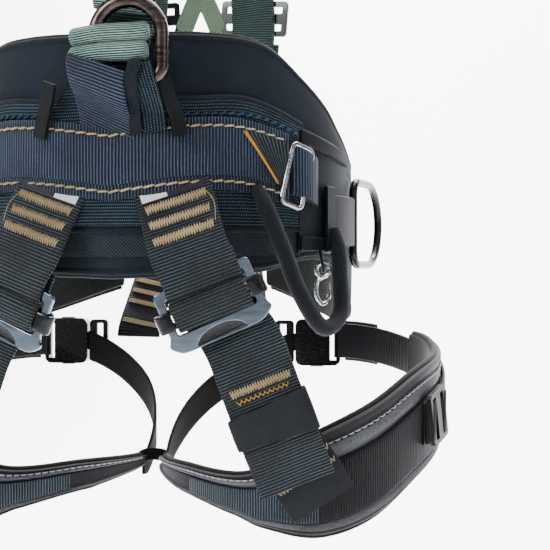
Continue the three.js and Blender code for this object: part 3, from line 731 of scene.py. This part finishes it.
def ring_piece(node, outline, rod, origin, along_axis, up_axis, material, flatten=1.0):
    """A smooth ring in the plane of two axes, in place of a designed one."""
    along_axis, up_axis = np.array(along_axis, float), np.array(up_axis, float)
    path = np.array(origin) + outline[:, :1] * along_axis + outline[:, 1:] * up_axis
    normal = np.cross(along_axis, up_axis)
    piece = tube(node + "_smooth", path, rod / 2, material, 18, True, flatten, normal)
    return ride(piece, BODY_OF[node], [node])


def rings():
    rear = rounded_outline(44 * MM, 38 * MM, 8 * MM, 18.9 * MM)
    ring_piece("rear_ring", rear, 8 * MM, (13.6 * MM, -142 * MM, 130 * MM), (0, 0, 1), (1, 0, 0), BRONZE)
    ventral = rounded_outline(44 * MM, 38 * MM, 14 * MM, 14 * MM)
    ring_piece("ventral_ring", ventral, 7 * MM, (0, 139 * MM, 12 * MM), (1, 0, 0), (0, 0, 1), GREY_METAL)
    hip = rounded_outline(56 * MM, 53 * MM, 9 * MM, 26 * MM)
    bar = belt_point(79.5, 33 * MM, 10.6 * MM)
    heading = math.radians(90 - 13)
    wire = rounded_outline(16 * MM, 36 * MM, 3 * MM, 3 * MM)
    at = belt_point(49, 58 * MM, 13 * MM)
    out = belt_point(49, 0, 1.0) - belt_point(49, 0, 0.0)
    run = belt_point(51.5, 56.8 * MM, 0.0) - belt_point(46.5, 59.8 * MM, 0.0)
    run = unit(run)
    up = np.cross(unit(out - run * out.dot(run)), run)
    for side, sign in (("right", 1), ("left", -1)):
        flip = np.array([sign, 1, 1])
        forward = np.array([math.cos(heading), math.sin(heading), 0])
        ring_piece(f"hip_ring_{side}", hip, 5.4 * MM, (bar + forward * 28 * MM) * flip, forward * flip,
                   (0, 0, 1), BLACK_METAL)
        ring_piece(f"belt_slider_{side}", wire, 3.2 * MM, at * flip, run * flip, up * flip, CHROME)


# ------------------------------------------------------------------ rear risers and their adjusters
RISER_TOP = np.array([37, -137.5, 42])
RISER_BEND = np.array([62, -137, -22])
RISER_KEEPER = np.array([95, -126, -93])
RISER_END = np.array([106, -121, -121])


UPPER_RUN = unit(RISER_BEND - RISER_TOP)
LOWER_RUN = unit(RISER_KEEPER - RISER_BEND)
ADJUSTER_OUT = unit(np.array([0.1, -1, 0.12]) - LOWER_RUN * LOWER_RUN.dot([0.1, -1, 0.12]))


def by_adjuster(down, out, run=LOWER_RUN):
    """A point on the riser's middle line: millimetres down from the bend and out from the adjuster's middle."""
    return RISER_BEND + run * down + ADJUSTER_OUT * out


class Patch(Band):
    """Part of another band's outer face, raised by lift."""

    def __init__(self, under, u, v, lift, thick):
        super().__init__(thick)
        self.under, self.u, self.v, self.lift = under, u, v, lift

    def place(self, u, v, h):
        return self.under.at(self.u[0] + (self.u[1] - self.u[0]) * u, self.v[0] + (self.v[1] - self.v[0]) * v,
                             self.under.thick + self.lift + h)


def plate(name, outline, holes, thick, bevel, material, origin, axes, mirror, resolution=2):
    """A pressed plate from a flat outline and its holes, with rounded edges, set down at origin."""
    curve = bpy.data.curves.new(name, "CURVE")
    curve.dimensions = "2D"
    curve.fill_mode = "BOTH"
    for points in [outline] + holes:
        spline = curve.splines.new("POLY")
        spline.points.add(len(points) - 1)
        for point, (x, y) in zip(spline.points, points):
            point.co = (x, y, 0, 1)
        spline.use_cyclic_u = True
    curve.extrude = thick / 2 - bevel
    curve.bevel_depth = bevel
    curve.bevel_resolution = resolution
    curve.offset = -bevel
    holder = add_object(name + "_outline", curve)
    flat = bpy.data.meshes.new_from_object(holder.evaluated_get(bpy.context.evaluated_depsgraph_get()))
    bpy.data.objects.remove(holder)
    x, y, z = [np.array(a, float) for a in axes]
    local = np.array([v.co for v in flat.vertices])
    world = np.array(origin, float) + local[:, :1] * x + local[:, 1:2] * y + local[:, 2:] * z
    if mirror:
        world = world * FLIP
    faces = [tuple(p.vertices) for p in flat.polygons]
    return finish_mesh(name, world, faces, [material], sharp=35)


def soft_corners(corners, radius, steps=6):
    """Points along a polygon with rounded corners. radius is one number or one for each corner."""
    radii = np.broadcast_to(radius, (len(corners),))
    corners = np.array(corners, float)
    points = []
    for i, corner in enumerate(corners):
        before, after = corners[i - 1] - corner, corners[(i + 1) % len(corners)] - corner
        reach = radii[i]
        start, end = corner + unit(before) * reach, corner + unit(after) * reach
        for t in np.linspace(0, 1, steps):
            points.append((1 - t) ** 2 * start + 2 * t * (1 - t) * corner + t * t * end)
    return [tuple(p) for p in points]


def box_outline(x0, x1, y0, y1, radius):
    return soft_corners([(x0, y0), (x1, y0), (x1, y1), (x0, y1)], radius)


STRAP_ACROSS = unit([0.92, 0.1, 0.37])


def adjuster(side, mirror):
    across = unit(np.cross(ADJUSTER_OUT, LOWER_RUN))
    lean = math.radians(2.2)
    down = LOWER_RUN * math.cos(lean) - across * math.sin(lean)
    across = across * math.cos(lean) + LOWER_RUN * math.sin(lean)
    axes = (down, across, ADJUSTER_OUT)
    place = lambda x, y, z: RISER_BEND + down * x + across * y + ADJUSTER_OUT * z
    corners = [(-23.5, -28.5, 3.5), (3.5, -28.2, 3), (7, -31.5, 3), (13.2, -25, 4), (13.4, 23, 4),
               (7.5, 31.5, 3), (3.5, 28.6, 3), (-23.5, 29, 3.5)]
    outline = soft_corners([(x * MM, y * MM) for x, y, _ in corners], [r * MM for _, _, r in corners])
    window = box_outline(-18 * MM, 2.4 * MM, -23.4 * MM, 23.4 * MM, 1.5 * MM)
    arc = np.radians(np.linspace(0, 180, 25))
    bowl = [((12 - 6.6 * math.sin(a)) * MM, (-1 - 14 * math.cos(a)) * MM) for a in arc]
    frame_plate = plate(f"adjuster_frame_plate_{side}", outline, [window, bowl], 2.8 * MM, 0.8 * MM,
                        GREY_METAL, RISER_BEND * MM, axes, mirror, 3)
    ride(frame_plate, "root", [f"adjuster_frame_{side}"])

    # thumb recess, a shallow bowl pressed into the lower edge
    rows, spokes = 8, 28
    verts = []
    for r in np.linspace(0, 1, rows):
        for a in np.radians(np.linspace(0, 180, spokes)):
            sink = 1.2 * (1 - r ** 3)
            verts.append(place(12.2 - 6.9 * r * math.sin(a), -1 - 14.3 * r * math.cos(a), 1.1 - sink) * MM)
    verts = np.array(verts) * (FLIP if mirror else 1)
    faces = [(i * spokes + k, i * spokes + k + 1, (i + 1) * spokes + k + 1, (i + 1) * spokes + k)
             for i in range(rows - 1) for k in range(spokes - 1)]
    ride(finish_mesh(f"adjuster_thumb_recess_{side}", verts, faces, [BLACK_METAL]), "root")

    # sliding bar plate behind, with lugs that wrap round the frame's sides
    plate_at = place(-7, 0, -3.6)
    back = plate(f"adjuster_bar_plate_{side}", box_outline(-6 * MM, 6 * MM, -30 * MM, 30 * MM, 3 * MM),
                 [box_outline(-2.4 * MM, 2.4 * MM, -23.2 * MM, 23.2 * MM, 1 * MM)], 2.2 * MM, 0.6 * MM,
                 GREY_METAL, plate_at * MM, axes, mirror)
    ride(back, f"adjuster_plate_{side}", [f"adjuster_plate_{side}"])
    for name, y in (("inner", -1), ("outer", 1)):
        points = [place(-6.5, y * 24, -3.4), place(-6.5, y * 29.6, -3.2), place(-6.5, y * 31.4, -0.6),
                  place(-6.5, y * 30.4, 2.2), place(-6.5, y * 27, 2.9), place(-6.5, y * 23, 2.7)]
        lug = PathBand(points, down, 11 * MM, 1.8 * MM, mirror)
        piece = loft(f"adjuster_lug_{name}_{side}", lug, 24, [BLACK_METAL], strip_section(4, 0.12))
        ride(piece, f"adjuster_plate_{side}")


def rear_riser(side, mirror):
    fold = lambda down, out: by_adjuster(down, out, UPPER_RUN)
    upper = PathBand(
        [(29.5, -125.8, 62), (33.5, -126.6, 52), (37.5, -129, 42), (42, -134.6, 29), (47.5, -140, 13),
         fold(-27, 5.0), fold(-20, 5.2), fold(-16, 4.4), fold(-15, 2.2), fold(-16.5, 0), fold(-21, -2.4),
         fold(-32, -2.6)],
        [unit([0.93, 0.24, 0.30]), STRAP_ACROSS], WEBBING, 1.9 * MM, mirror, True)
    lay(f"riser_upper_webbing_{side}", upper, 170, RISER_WEAVE, strip_section(10, 0.03),
        stands_for=[f"riser_upper_{side}"])
    rows = []
    for k, share in enumerate((0.232, 0.335, 0.438)):
        rows += bartack(upper, share, 0.1, 0.9, 5.2 * MM, seed=k + 1)
    sew(f"riser_bartacks_{side}", rows, 0.36 * MM, THREAD)
    tail = [upper.at(u, v, 2.4 * MM) for u, v in ((0.2, 0.87), (0.25, 0.93), (0.32, 0.97), (0.43, 0.93))]
    sew(f"riser_loose_thread_{side}", [smooth_path(tail, 14)], 0.22 * MM, THREAD)
    for name, ends, material in (("pale", (0.08, 0.42), LABEL), ("dark", (0.425, 0.93), LABEL_DARK)):
        label = Patch(upper, (0.136, 0.186), ends, 0.2 * MM, 0.6 * MM)
        lay(f"riser_blank_label_{name}_{side}", label, 6, material, strip_section(6, 0.02), slot=None)

    lower = PathBand(
        [by_adjuster(-1, -1.6), by_adjuster(1.2, 0.4), by_adjuster(0.8, 3.2), by_adjuster(-2.5, 4.8),
         by_adjuster(-8, 5.0), by_adjuster(-12, 4.2), by_adjuster(-13.8, 1.8), by_adjuster(-13, -2),
         by_adjuster(-8, -4.6), by_adjuster(2, -5.2) + STRAP_ACROSS * 3, by_adjuster(14, -4.2) + STRAP_ACROSS * 6,
         by_adjuster(24, -2) + STRAP_ACROSS * 6.5, by_adjuster(40, 0) + STRAP_ACROSS * 5,
         RISER_KEEPER + STRAP_ACROSS * 1.5, RISER_END + (0, 0, 3)],
        STRAP_ACROSS, WEBBING, 2.0 * MM, mirror, True)
    lay(f"riser_lower_webbing_{side}", lower, 220, RISER_WEAVE, strip_section(10, 0.03),
        stands_for=[f"riser_lower_{side}"])
    rows = bartack(lower, 0.585, 0.12, 0.92, 4.6 * MM, seed=7)
    sew(f"riser_lower_bartack_{side}", rows, 0.36 * MM, THREAD)
    rows = bartack(lower, 0.622, 0.16, 0.86, 2.2 * MM, 2.6 * MM, seed=8)
    sew(f"riser_gold_stitches_{side}", rows, 0.32 * MM, GOLD_THREAD)
    keeper(side, lower)


def keeper(side, strap):
    """The elastic sleeve round the strap near its end."""
    turn = np.linspace(0, 2 * np.pi, 73)[:-1]
    loop = np.sign(np.cos(turn)) * np.abs(np.cos(turn)) ** 0.2
    rise = np.sign(np.sin(turn)) * np.abs(np.sin(turn)) ** 0.5
    profile = [(-1.0, 0.0), (-0.96, 0.6), (-0.8, 0.75), (0, 0.9), (0.8, 0.75), (0.96, 0.6), (1.0, 0.0),
               (0.9, -0.5), (-0.9, -0.5)]
    centre, reach = 0.735, 11.2 * MM / strap.length()
    verts, uvs = [], []
    for i, (x, y) in enumerate(zip(loop, rise)):
        for down, lift in profile:
            across = 0.5 + x * (0.532 + lift * 0.02)
            sag = 0.012 * down * x
            verts.append(strap.at(centre + down * reach + sag, across, 1.0 * MM + y * (2.5 + lift) * MM))
            uvs.append((down * 9 * MM, i * 1.4 * MM))
    faces = quads(len(turn), len(profile), 0, True)
    piece = finish_mesh(f"riser_elastic_keeper_{side}", verts, faces, [ELASTIC], uvs)
    ride(piece, f"riser_keeper_{side}", [f"riser_keeper_{side}"])


# ------------------------------------------------------------------ leg loops
def leg_loop(side, mirror):
    taper = lambda a: 0.42 + 0.58 * np.clip((a + 82) / 34, 0, 1)
    height = lambda a: along(LEG_PAD_HEIGHT, a) * taper(a)
    pad = LegBand(-79, 124, height, -3.6 * MM, 3.0 * MM, mirror, lambda a: (1 - taper(a)) * 8 * MM)

    def crown(u, v, w):
        v = np.clip(v, 0, 1)
        rims = np.exp(-((v - 0.96) / 0.04) ** 2) + np.exp(-((v - 0.05) / 0.05) ** 2)
        panel = 0.9 * np.exp(-((v - 0.775) / 0.05) ** 2)
        grooves = np.exp(-((v - 0.70) / 0.018) ** 2) + 0.8 * np.exp(-((v - 0.87) / 0.016) ** 2)
        return np.where(w > 0.5, (rims * 1.4 + panel - grooves * 1.1) * MM, -0.5 * MM * np.sin(np.pi * v))

    def cloth(a, b):
        if a[1] + b[1] < 0.9:
            return 1
        v = (a[0] + b[0]) / 2
        return 2 if 0.70 < v < 0.845 or 0.045 < v < 0.12 else 0

    body = loft(f"leg_pad_cushion_{side}", pad, 150, [LEG_CLOTH, LINING, LEG_STRIP], strip_section(44, 0.03),
                crown, cloth)
    ride(body, "root", [f"leg_pad_{side}"])
    share = np.linspace(0.004, 0.996, 220)
    ride(tube(f"leg_pad_top_binding_{side}", pad.at(share, 1.0, 3.4 * MM), 2.1 * MM, LEG_EDGE), "root")
    ride(tube(f"leg_pad_bottom_binding_{side}", pad.at(share, 0.0, 3.4 * MM), 2.0 * MM, LEG_EDGE), "root")
    ride(tube(f"leg_pad_seam_cord_{side}", pad.at(share, 0.70, 3.2 * MM), 1.0 * MM, PLASTIC), "root")
    rows = stitch_row(pad, 0.865, 0.02, 0.98, 4.2 * MM, 1.2 * MM, 0.78)
    sew(f"leg_pad_pale_stitches_{side}", rows, 0.42 * MM, PALE_THREAD)
    rows = stitch_row(pad, 0.10, 0.3, 0.98, 4.2 * MM, 1.2 * MM, 0.6)
    sew(f"leg_pad_lower_stitches_{side}", rows, 0.32 * MM, LEG_STRIP)

    for name, ends in (("inner", (0.20, 0.46)), ("outer", (0.46, 0.86))):
        band = Patch(pad, ends, (0.13, 0.675), 0.3 * MM, 1.8 * MM)
        cover = [f"leg_webbing_{side}"] if name == "outer" else []
        lay(f"leg_band_webbing_{name}_{side}", band, 80, LEG_PALE_WEAVE if name == "inner" else LEG_WEAVE,
            strip_section(10, 0.04), stands_for=cover)

    sewn_end = PathBand([(97, -115.8, -94), (104, -116.5, -104), (112, -114.5, -117), (119, -111, -130)],
                        unit([0.86, 0.22, 0.50]), 41 * MM, 1.8 * MM, mirror)
    lay(f"riser_sewn_end_{side}", sewn_end, 40, ELASTIC, strip_section(8, 0.04))
    rows = bartack(sewn_end, 0.55, 0.04, 0.96, 3.0 * MM, 2.0 * MM, 0.6 * MM, 11)
    rows += bartack(sewn_end, 0.36, 0.6, 0.97, 3.0 * MM, 2.0 * MM, 0.6 * MM, 12)
    sew(f"riser_sewn_end_stitches_{side}", rows, 0.36 * MM, THREAD)

    # the strap from the pad's outer end goes back through the triglide
    strap_height = level(NARROW_WEBBING)
    end_strap = LegBand(60, 131, strap_height, 4.9 * MM, 6.9 * MM, mirror)
    lay(f"leg_end_webbing_{side}", end_strap, 70, LEG_WEAVE)
    for name, start, end in (("near", 60.5, 65.5), ("far", 70.5, 75.5)):
        hump = LegBand(start, end, strap_height, 7 * MM, 8.4 * MM, mirror)
        rise = lambda u, v, w: 3.4 * MM * np.sin(np.pi * u)
        lay(f"triglide_webbing_{name}_{side}", hump, 20, LEG_WEAVE, None, rise)
    outer = LegBand(124.5, 171, strap_height, -1.0 * MM, 1.0 * MM, mirror)
    lay(f"leg_strap_webbing_{side}", outer, 50, LEG_WEAVE, stands_for=[f"leg_strap_{side}"])
    wrap = LegBand(150, 166, level(29 * MM), 1.2 * MM, 4.4 * MM, mirror)
    lay(f"leg_strap_fold_{side}", wrap, 24, ELASTIC, strip_section(8, 0.05))
    crotch_width = [(191, 22), (255, 22), (279.5, 14)]
    inner = LegBand(191, 279.5, follow(crotch_width), -1.0 * MM, 1.0 * MM, mirror)
    lay(f"crotch_webbing_{side}", inner, 70, CROTCH_CLOTH, stands_for=[f"crotch_strap_{side}"])


def crotch_bridge():
    """Soft knitted tape that joins the two leg loops at the middle."""
    path = [leg_point(-76, along(LEG_MIDDLE, -76) + 3 * MM, 0) / MM, (6, -26, -117), (-6, -26, -117)]
    path.append(path[0] * FLIP)
    bridge = PathBand(path, (0, 0.25, 1), 8 * MM, 3 * MM)
    lay("leg_loop_bridge", bridge, 40, CROTCH_CLOTH, strip_section(8, 0.1), slot="leg_pad_fabric")


# ------------------------------------------------------------------ front risers, shoulder straps, gear loops
def front_pieces(side, mirror):
    riser = PathBand([(26, 130, 36), (34, 119, -2), (42, 99, -42), (42, 97.5, -46.5)],
                     [unit([1, 0, 0]), unit([0.94, 0, 0.35])], 32 * MM, 2.0 * MM, mirror)
    lay(f"front_riser_webbing_{side}", riser, 60, LEG_WEAVE, stands_for=[f"front_riser_{side}"])
    rows, width = [], np.linspace(0.06, 0.94, 9)
    for share in (0.5, 0.6, 0.7, 0.88):
        shares = [share + t for t in (-0.012, 0, 0.012)]
        rows += [np.flip(riser.at(u, width, -0.4 * MM), 0) for u in shares]
        rows += [riser.at(u, width, 2.4 * MM) for u in shares]
    sew(f"front_riser_bartacks_{side}", rows, 0.7 * MM, THREAD)

    shoulder = PathBand(
        [(24, -137, 296), (40, -118, 400), (66, -66, 510), (74, -8, 545), (78, 58, 490), (72, 98, 410),
         (62, 112, 330), (44, 122, 214)],
        [unit([1, 0.1, -0.3]), unit([1, -0.2, 0])], WEBBING, 2.2 * MM, mirror)
    lay(f"shoulder_webbing_{side}", shoulder, 200, GREEN_WEAVE, strip_section(10, 0.03), slot="green_webbing",
        stands_for=[f"shoulder_strap_{side}"])
    lower = PathBand([(41, 122.5, 178), (36, 125.5, 140), (31, 127, 92), (29.5, 125.5, 71)],
                     unit([1, -0.2, 0]), WEBBING, 2.2 * MM, mirror)
    # Painted shade: the strap below the adjuster is the sage webbing darkened.
    lay(f"front_webbing_{side}", lower, 60, SHADED_GREEN_WEAVE, strip_section(10, 0.03), slot="green_webbing",
        stands_for=[f"front_strap_{side}"])
    polished(f"strap_adjuster_{side}", BLACK_METAL, 0.8 * MM)
    bundle = PathBand([(41, 119, 218), (41.5, 117, 206), (42, 116.5, 192), (41.5, 118, 178), (41, 120.5, 168)],
                      unit([1, -0.2, 0]), 34 * MM, 2.4 * MM, mirror)
    swell = lambda u, v, w: (1 - w) * -5 * MM * np.sin(np.pi * u) ** 0.6
    # Painted shade on the folded sage webbing in the adjuster.
    lay(f"strap_adjuster_fold_{side}", bundle, 40, SHADED_GREEN_WEAVE, strip_section(8, 0.06), swell,
        slot="green_webbing")
    brace = PathBand([(20, 127.5, 150), (17.5, 127, 176), (3, 126, 214), (-24, 120.5, 262), (-44, 114.5, 296)],
                     unit([1, -0.1, 0.2]), 14 * MM, 1.8 * MM, mirror)
    lay(f"chest_brace_{side}", brace, 90, OLIVE_WEAVE, slot="green_webbing")


def back_webbing():
    """The green strap: two fat folds in the rear ring, and two webbings up to the middle of the back."""
    x, y, z, top = 13.6, -142, 130, 152
    points = [(0, y + 7, 292), (x * 0.7, y + 9, top + 40), (x - 4, y + 10, top), (x - 6, y + 9, z + 6),
              (x - 8, y + 8, z - 6)]
    strap = PathBand(points, (1, 0, 0), 34 * MM, 2.2 * MM)
    # Painted shade: the strap rising behind the rear ring is coloured with the darkened sage webbing.
    lay("back_strap_webbing", strap, 120, SHADED_GREEN_WEAVE, strip_section(10, 0.03), slot="green_webbing",
        stands_for=["back_strap"])
    front = PathBand([(0, y + 3.6, 292), (x * 0.7, y - 2, top + 44), (x - 1, y - 8.5, top + 12),
                      (x - 4, y - 3.5, top + 2), (x - 6, y + 5, top - 4)], (1, 0, 0), 30 * MM, 2.2 * MM)
    lay("back_strap_front_webbing", front, 120, GREEN_WEAVE, strip_section(10, 0.03), slot="green_webbing")
    for name, level, left, right, reach in (("upper", 133.8, -19, 25.5, 5.4), ("lower", 123.2, -19, 24.8, 5.6)):
        tilt = 0.09
        share = np.linspace(0, 1, 40)
        px = left + (right - left) * share
        pz = level + (px - 5) * tilt + 0.6 * np.sin(share * 5)
        path = np.stack([px, np.full(40, y - 0.5) - 1.2 * np.sin(share * np.pi), pz], -1) * MM
        close = np.clip(np.minimum(share, 1 - share) * 22, 0, 1) ** 0.5
        roll = tube(f"back_strap_{name}_fold", path, reach * (0.72 + 0.28 * close) * MM, GREEN_ROLL, 26,
                    False, 0.92, (0, 1, 0))
        ride(roll, "rear_ring")


def gear_loop(side, mirror):
    at = [(36.9, 50, 12.5), (37.5, 42, 18), (41.5, 16, 22.4), (46, -12, 25.4), (53.5, -31, 24.4),
          (60.5, -24, 22.4), (62.5, 0, 19.4), (63.3, 15, 17.2), (63.5, 28, 13.5)]
    points = np.array([belt_point(a, z * MM, out * MM) for a, z, out in at])
    path = smooth_path(points, 120) * (FLIP if mirror else 1)
    ends = np.clip(np.minimum(np.linspace(0, 1, 120), np.linspace(1, 0, 120)) * 14, 0, 1)
    ride(tube(f"gear_loop_sleeve_{side}", path, (3.6 + 1.3 * ends) * MM, BRAID, 20), "root",
         [f"gear_loop_{side}"])


class Tongue(Band):
    """The mesh tongue above the belt, tapering to its top."""

    def place(self, u, v, h):
        z = 28 * MM + 90 * MM * v
        across = (u - 0.5) * 2 * along([(28, 24), (80, 34), (92, 33), (106, 22)], z / MM)
        return belt_point(np.degrees(np.arcsin(across / WAIST_HALF_WIDTH)), z, 8.6 * MM + h)


def tongue_and_loop():
    """The snap hook's cord, the mesh tongue with its gussets, and the webbing over the rear ring's bar."""
    cord = [(110, -62, 27), (112.6, -65.8, 15), (114.2, -66.4, 5.5), (114.4, -64.3, 2.2), (114.2, -62.2, 5.5),
            (112.2, -61.6, 15), (109.5, -60.4, 27)]
    ride(tube("snap_hook_cord", smooth_path(np.array(cord) * MM, 60), 1.0 * MM, PLASTIC), "root")
    tongue = Tongue(1.9 * MM)
    lay("rear_tongue_mesh", tongue, 30, MESH, strip_section(24, 0.02), slot="mesh_fabric",
        stands_for=["rear_tongue"])
    for name, mirror in SIDES:
        edge = PathBand([(41, -131, 78), (39, -132, 88), (35.5, -135.5, 98), (32.6, -138.5, 108)],
                        unit([0.9, 0.3, 0.35]), 8.5 * MM, 2.4 * MM, mirror)
        lay(f"rear_tongue_gusset_{name}", edge, 40, COATED, strip_section(6, 0.08), slot=None)
        rows = [edge.at(np.linspace(0.02, 0.98, 50), v, 2.7 * MM) for v in (0.36, 0.6)]
        rows += [edge.at(np.linspace(0.02, 0.98, 50), v, 2.2 * MM) for v in (0.03, 0.97)]
        sew(f"rear_tongue_gusset_seams_{name}", rows, 0.45 * MM, PLASTIC)
    tilted = [unit([1, 0, -0.5]), unit([1, 0, -0.34])]
    panel = PathBand([(-1, -131.6, 78), (-2, -137, 92), (-2.5, -147.4, 102), (-3, -149.8, 110),
                      (-2.6, -148.6, 117)],
                     tilted, 35 * MM, 2.4 * MM, False, True)
    lay("rear_ring_webbing", panel, 70, NAVY_WEAVE, strip_section(12, 0.04), stands_for=["rear_ring_loop"])
    side_mesh = PathBand([(27, -133.4, 80), (26.5, -137.5, 92), (25.4, -146, 102), (23, -148.4, 110),
                          (21, -147, 116)],
                         unit([1, 0.04, -0.1]), 12.5 * MM, 2.2 * MM)
    lay("rear_ring_side_mesh", side_mesh, 60, MESH, strip_section(8, 0.06), slot="mesh_fabric")
    strip = PathBand([(16, -135, 79), (16.4, -140, 92), (17.2, -148.6, 102), (18, -151, 110),
                      (19.6, -149.6, 117.5)],
                     unit([1, 0.06, -0.12]), 7.2 * MM, 2.6 * MM)
    lay("rear_ring_webbing_edge", strip, 60, BINDING, strip_section(8, 0.12), slot=None)
    rows = stitch_row(strip, 0.5, 0.02, 0.98, 2.6 * MM, 0.3 * MM, 0.6)
    rows += stitch_row(strip, 0.86, 0.02, 0.98, 2.6 * MM, 0.3 * MM, 0.6)
    sew("rear_ring_webbing_seam", rows, 0.34 * MM, PLASTIC)


def hardware():
    for prefix in ("leg_right", "leg_left", "waist"):
        polished(f"{prefix}_buckle_shell", BLACK_METAL, 1.2 * MM)
        polished(f"{prefix}_buckle_tongue", BLACK_METAL, 0.6 * MM)
        polished(f"{prefix}_clip_upper", BRASS, 0.5 * MM)
        polished(f"{prefix}_clip_lower", BRASS, 0.5 * MM)
    for side in ("right", "left"):
        polished(f"triglide_{side}", PLASTIC, 0.7 * MM)
    polished("snap_hook", CHROME, 0.1 * MM, 1)
    polished("snap_gate", CHROME, 0.15 * MM, 1)


# ------------------------------------------------------------------ light, camera, floor
def stage_and_camera():
    view_yaw = math.radians(8)
    distance, sideways = 815 * MM, 75 * MM
    toward = Vector((-math.sin(view_yaw), math.cos(view_yaw), 0))
    right = Vector((math.cos(view_yaw), math.sin(view_yaw), 0))
    data = bpy.data.cameras.new("camera")
    data.lens = 79.5
    data.sensor_width = 36
    camera = add_object("camera", data)
    camera.location = right * sideways - toward * distance
    camera.rotation_euler = (math.radians(90), 0, view_yaw)
    bpy.context.scene.camera = camera

    floor_level, back, bend = -0.42, 2.6, 1.0
    rows = [(-4.0, 0.0), (back - bend, 0.0)]
    rows += [(back - bend + bend * math.sin(a), bend - bend * math.cos(a)) for a in np.radians(np.arange(10,
                                                                                                         91,
                                                                                                         10))]
    rows += [(back, 5.0)]
    verts = [(x, y, floor_level + z) for y, z in rows for x in (-5.0, 5.0)]
    faces = [(2 * i, 2 * i + 1, 2 * i + 3, 2 * i + 2) for i in range(len(rows) - 1)]
    pale = Shader("pale_floor", 0.9)
    cloud = pale.noise(2.0, 2)
    floor = finish_mesh("floor", verts, faces,
                        [pale.finish(pale.ramp(cloud, (0.3, (0.95, 0.95, 0.955, 1)),
                                               (0.7, (0.97, 0.97, 0.975, 1))),
                                     cloud, 0.0001, 0.1)])

    world = bpy.data.worlds.new("studio")
    world.use_nodes = True
    nodes, links = world.node_tree.nodes, world.node_tree.links
    direction = nodes.new("ShaderNodeTexCoord")
    lift = nodes.new("ShaderNodeVectorMath")
    lift.operation = "DOT_PRODUCT"
    lift.inputs[1].default_value = (-0.45, -0.15, 0.85)
    shade = nodes.new("ShaderNodeValToRGB")
    shade.color_ramp.elements[0].position = 0.30
    shade.color_ramp.elements[0].color = (0.16, 0.17, 0.19, 1)
    shade.color_ramp.elements[1].position = 0.85
    shade.color_ramp.elements[1].color = (1.7, 1.75, 1.85, 1)
    half = nodes.new("ShaderNodeMath")
    half.operation = "MULTIPLY_ADD"
    half.inputs[1].default_value = 0.5
    half.inputs[2].default_value = 0.5
    links.new(direction.outputs["Generated"], lift.inputs[0])
    links.new(lift.outputs["Value"], half.inputs[0])
    links.new(half.outputs[0], shade.inputs[0])
    links.new(shade.outputs[0], nodes["Background"].inputs[0])
    nodes["Background"].inputs[1].default_value = 0.42
    bpy.context.scene.world = world
    lamps = [
        ("key_light", (-1.1, -1.5, 1.1), (0, 0, 0.02), 0.8, 40),
        ("fill_light", (1.7, -1.1, 0.5), (0, 0, 0), 1.2, 6),
        ("top_light", (0.2, -0.1, 1.9), (0, 0, 0), 1.0, 24),
        ("backdrop_light", (0, 0.9, 1.7), (0, 2.6, 0.2), 2.0, 430),
    ]
    for name, where, target, size, power in lamps:
        light = bpy.data.lights.new(name, "AREA")
        light.size = size
        light.energy = power
        lamp = add_object(name, light)
        lamp.location = where
        lamp.rotation_euler = (Vector(target) - Vector(where)).to_track_quat("-Z", "Y").to_euler()


stage_and_camera()
waist_pad()
belt_sleeve()
belt_webbing()
rings()
for side, mirror in SIDES:
    front_belt(side, mirror)
    hip_panel(side, mirror)
    adjuster(side, mirror)
    rear_riser(side, mirror)
    leg_loop(side, mirror)
    front_pieces(side, mirror)
    gear_loop(side, mirror)
tongue_and_loop()
back_webbing()
crotch_bridge()
hardware()
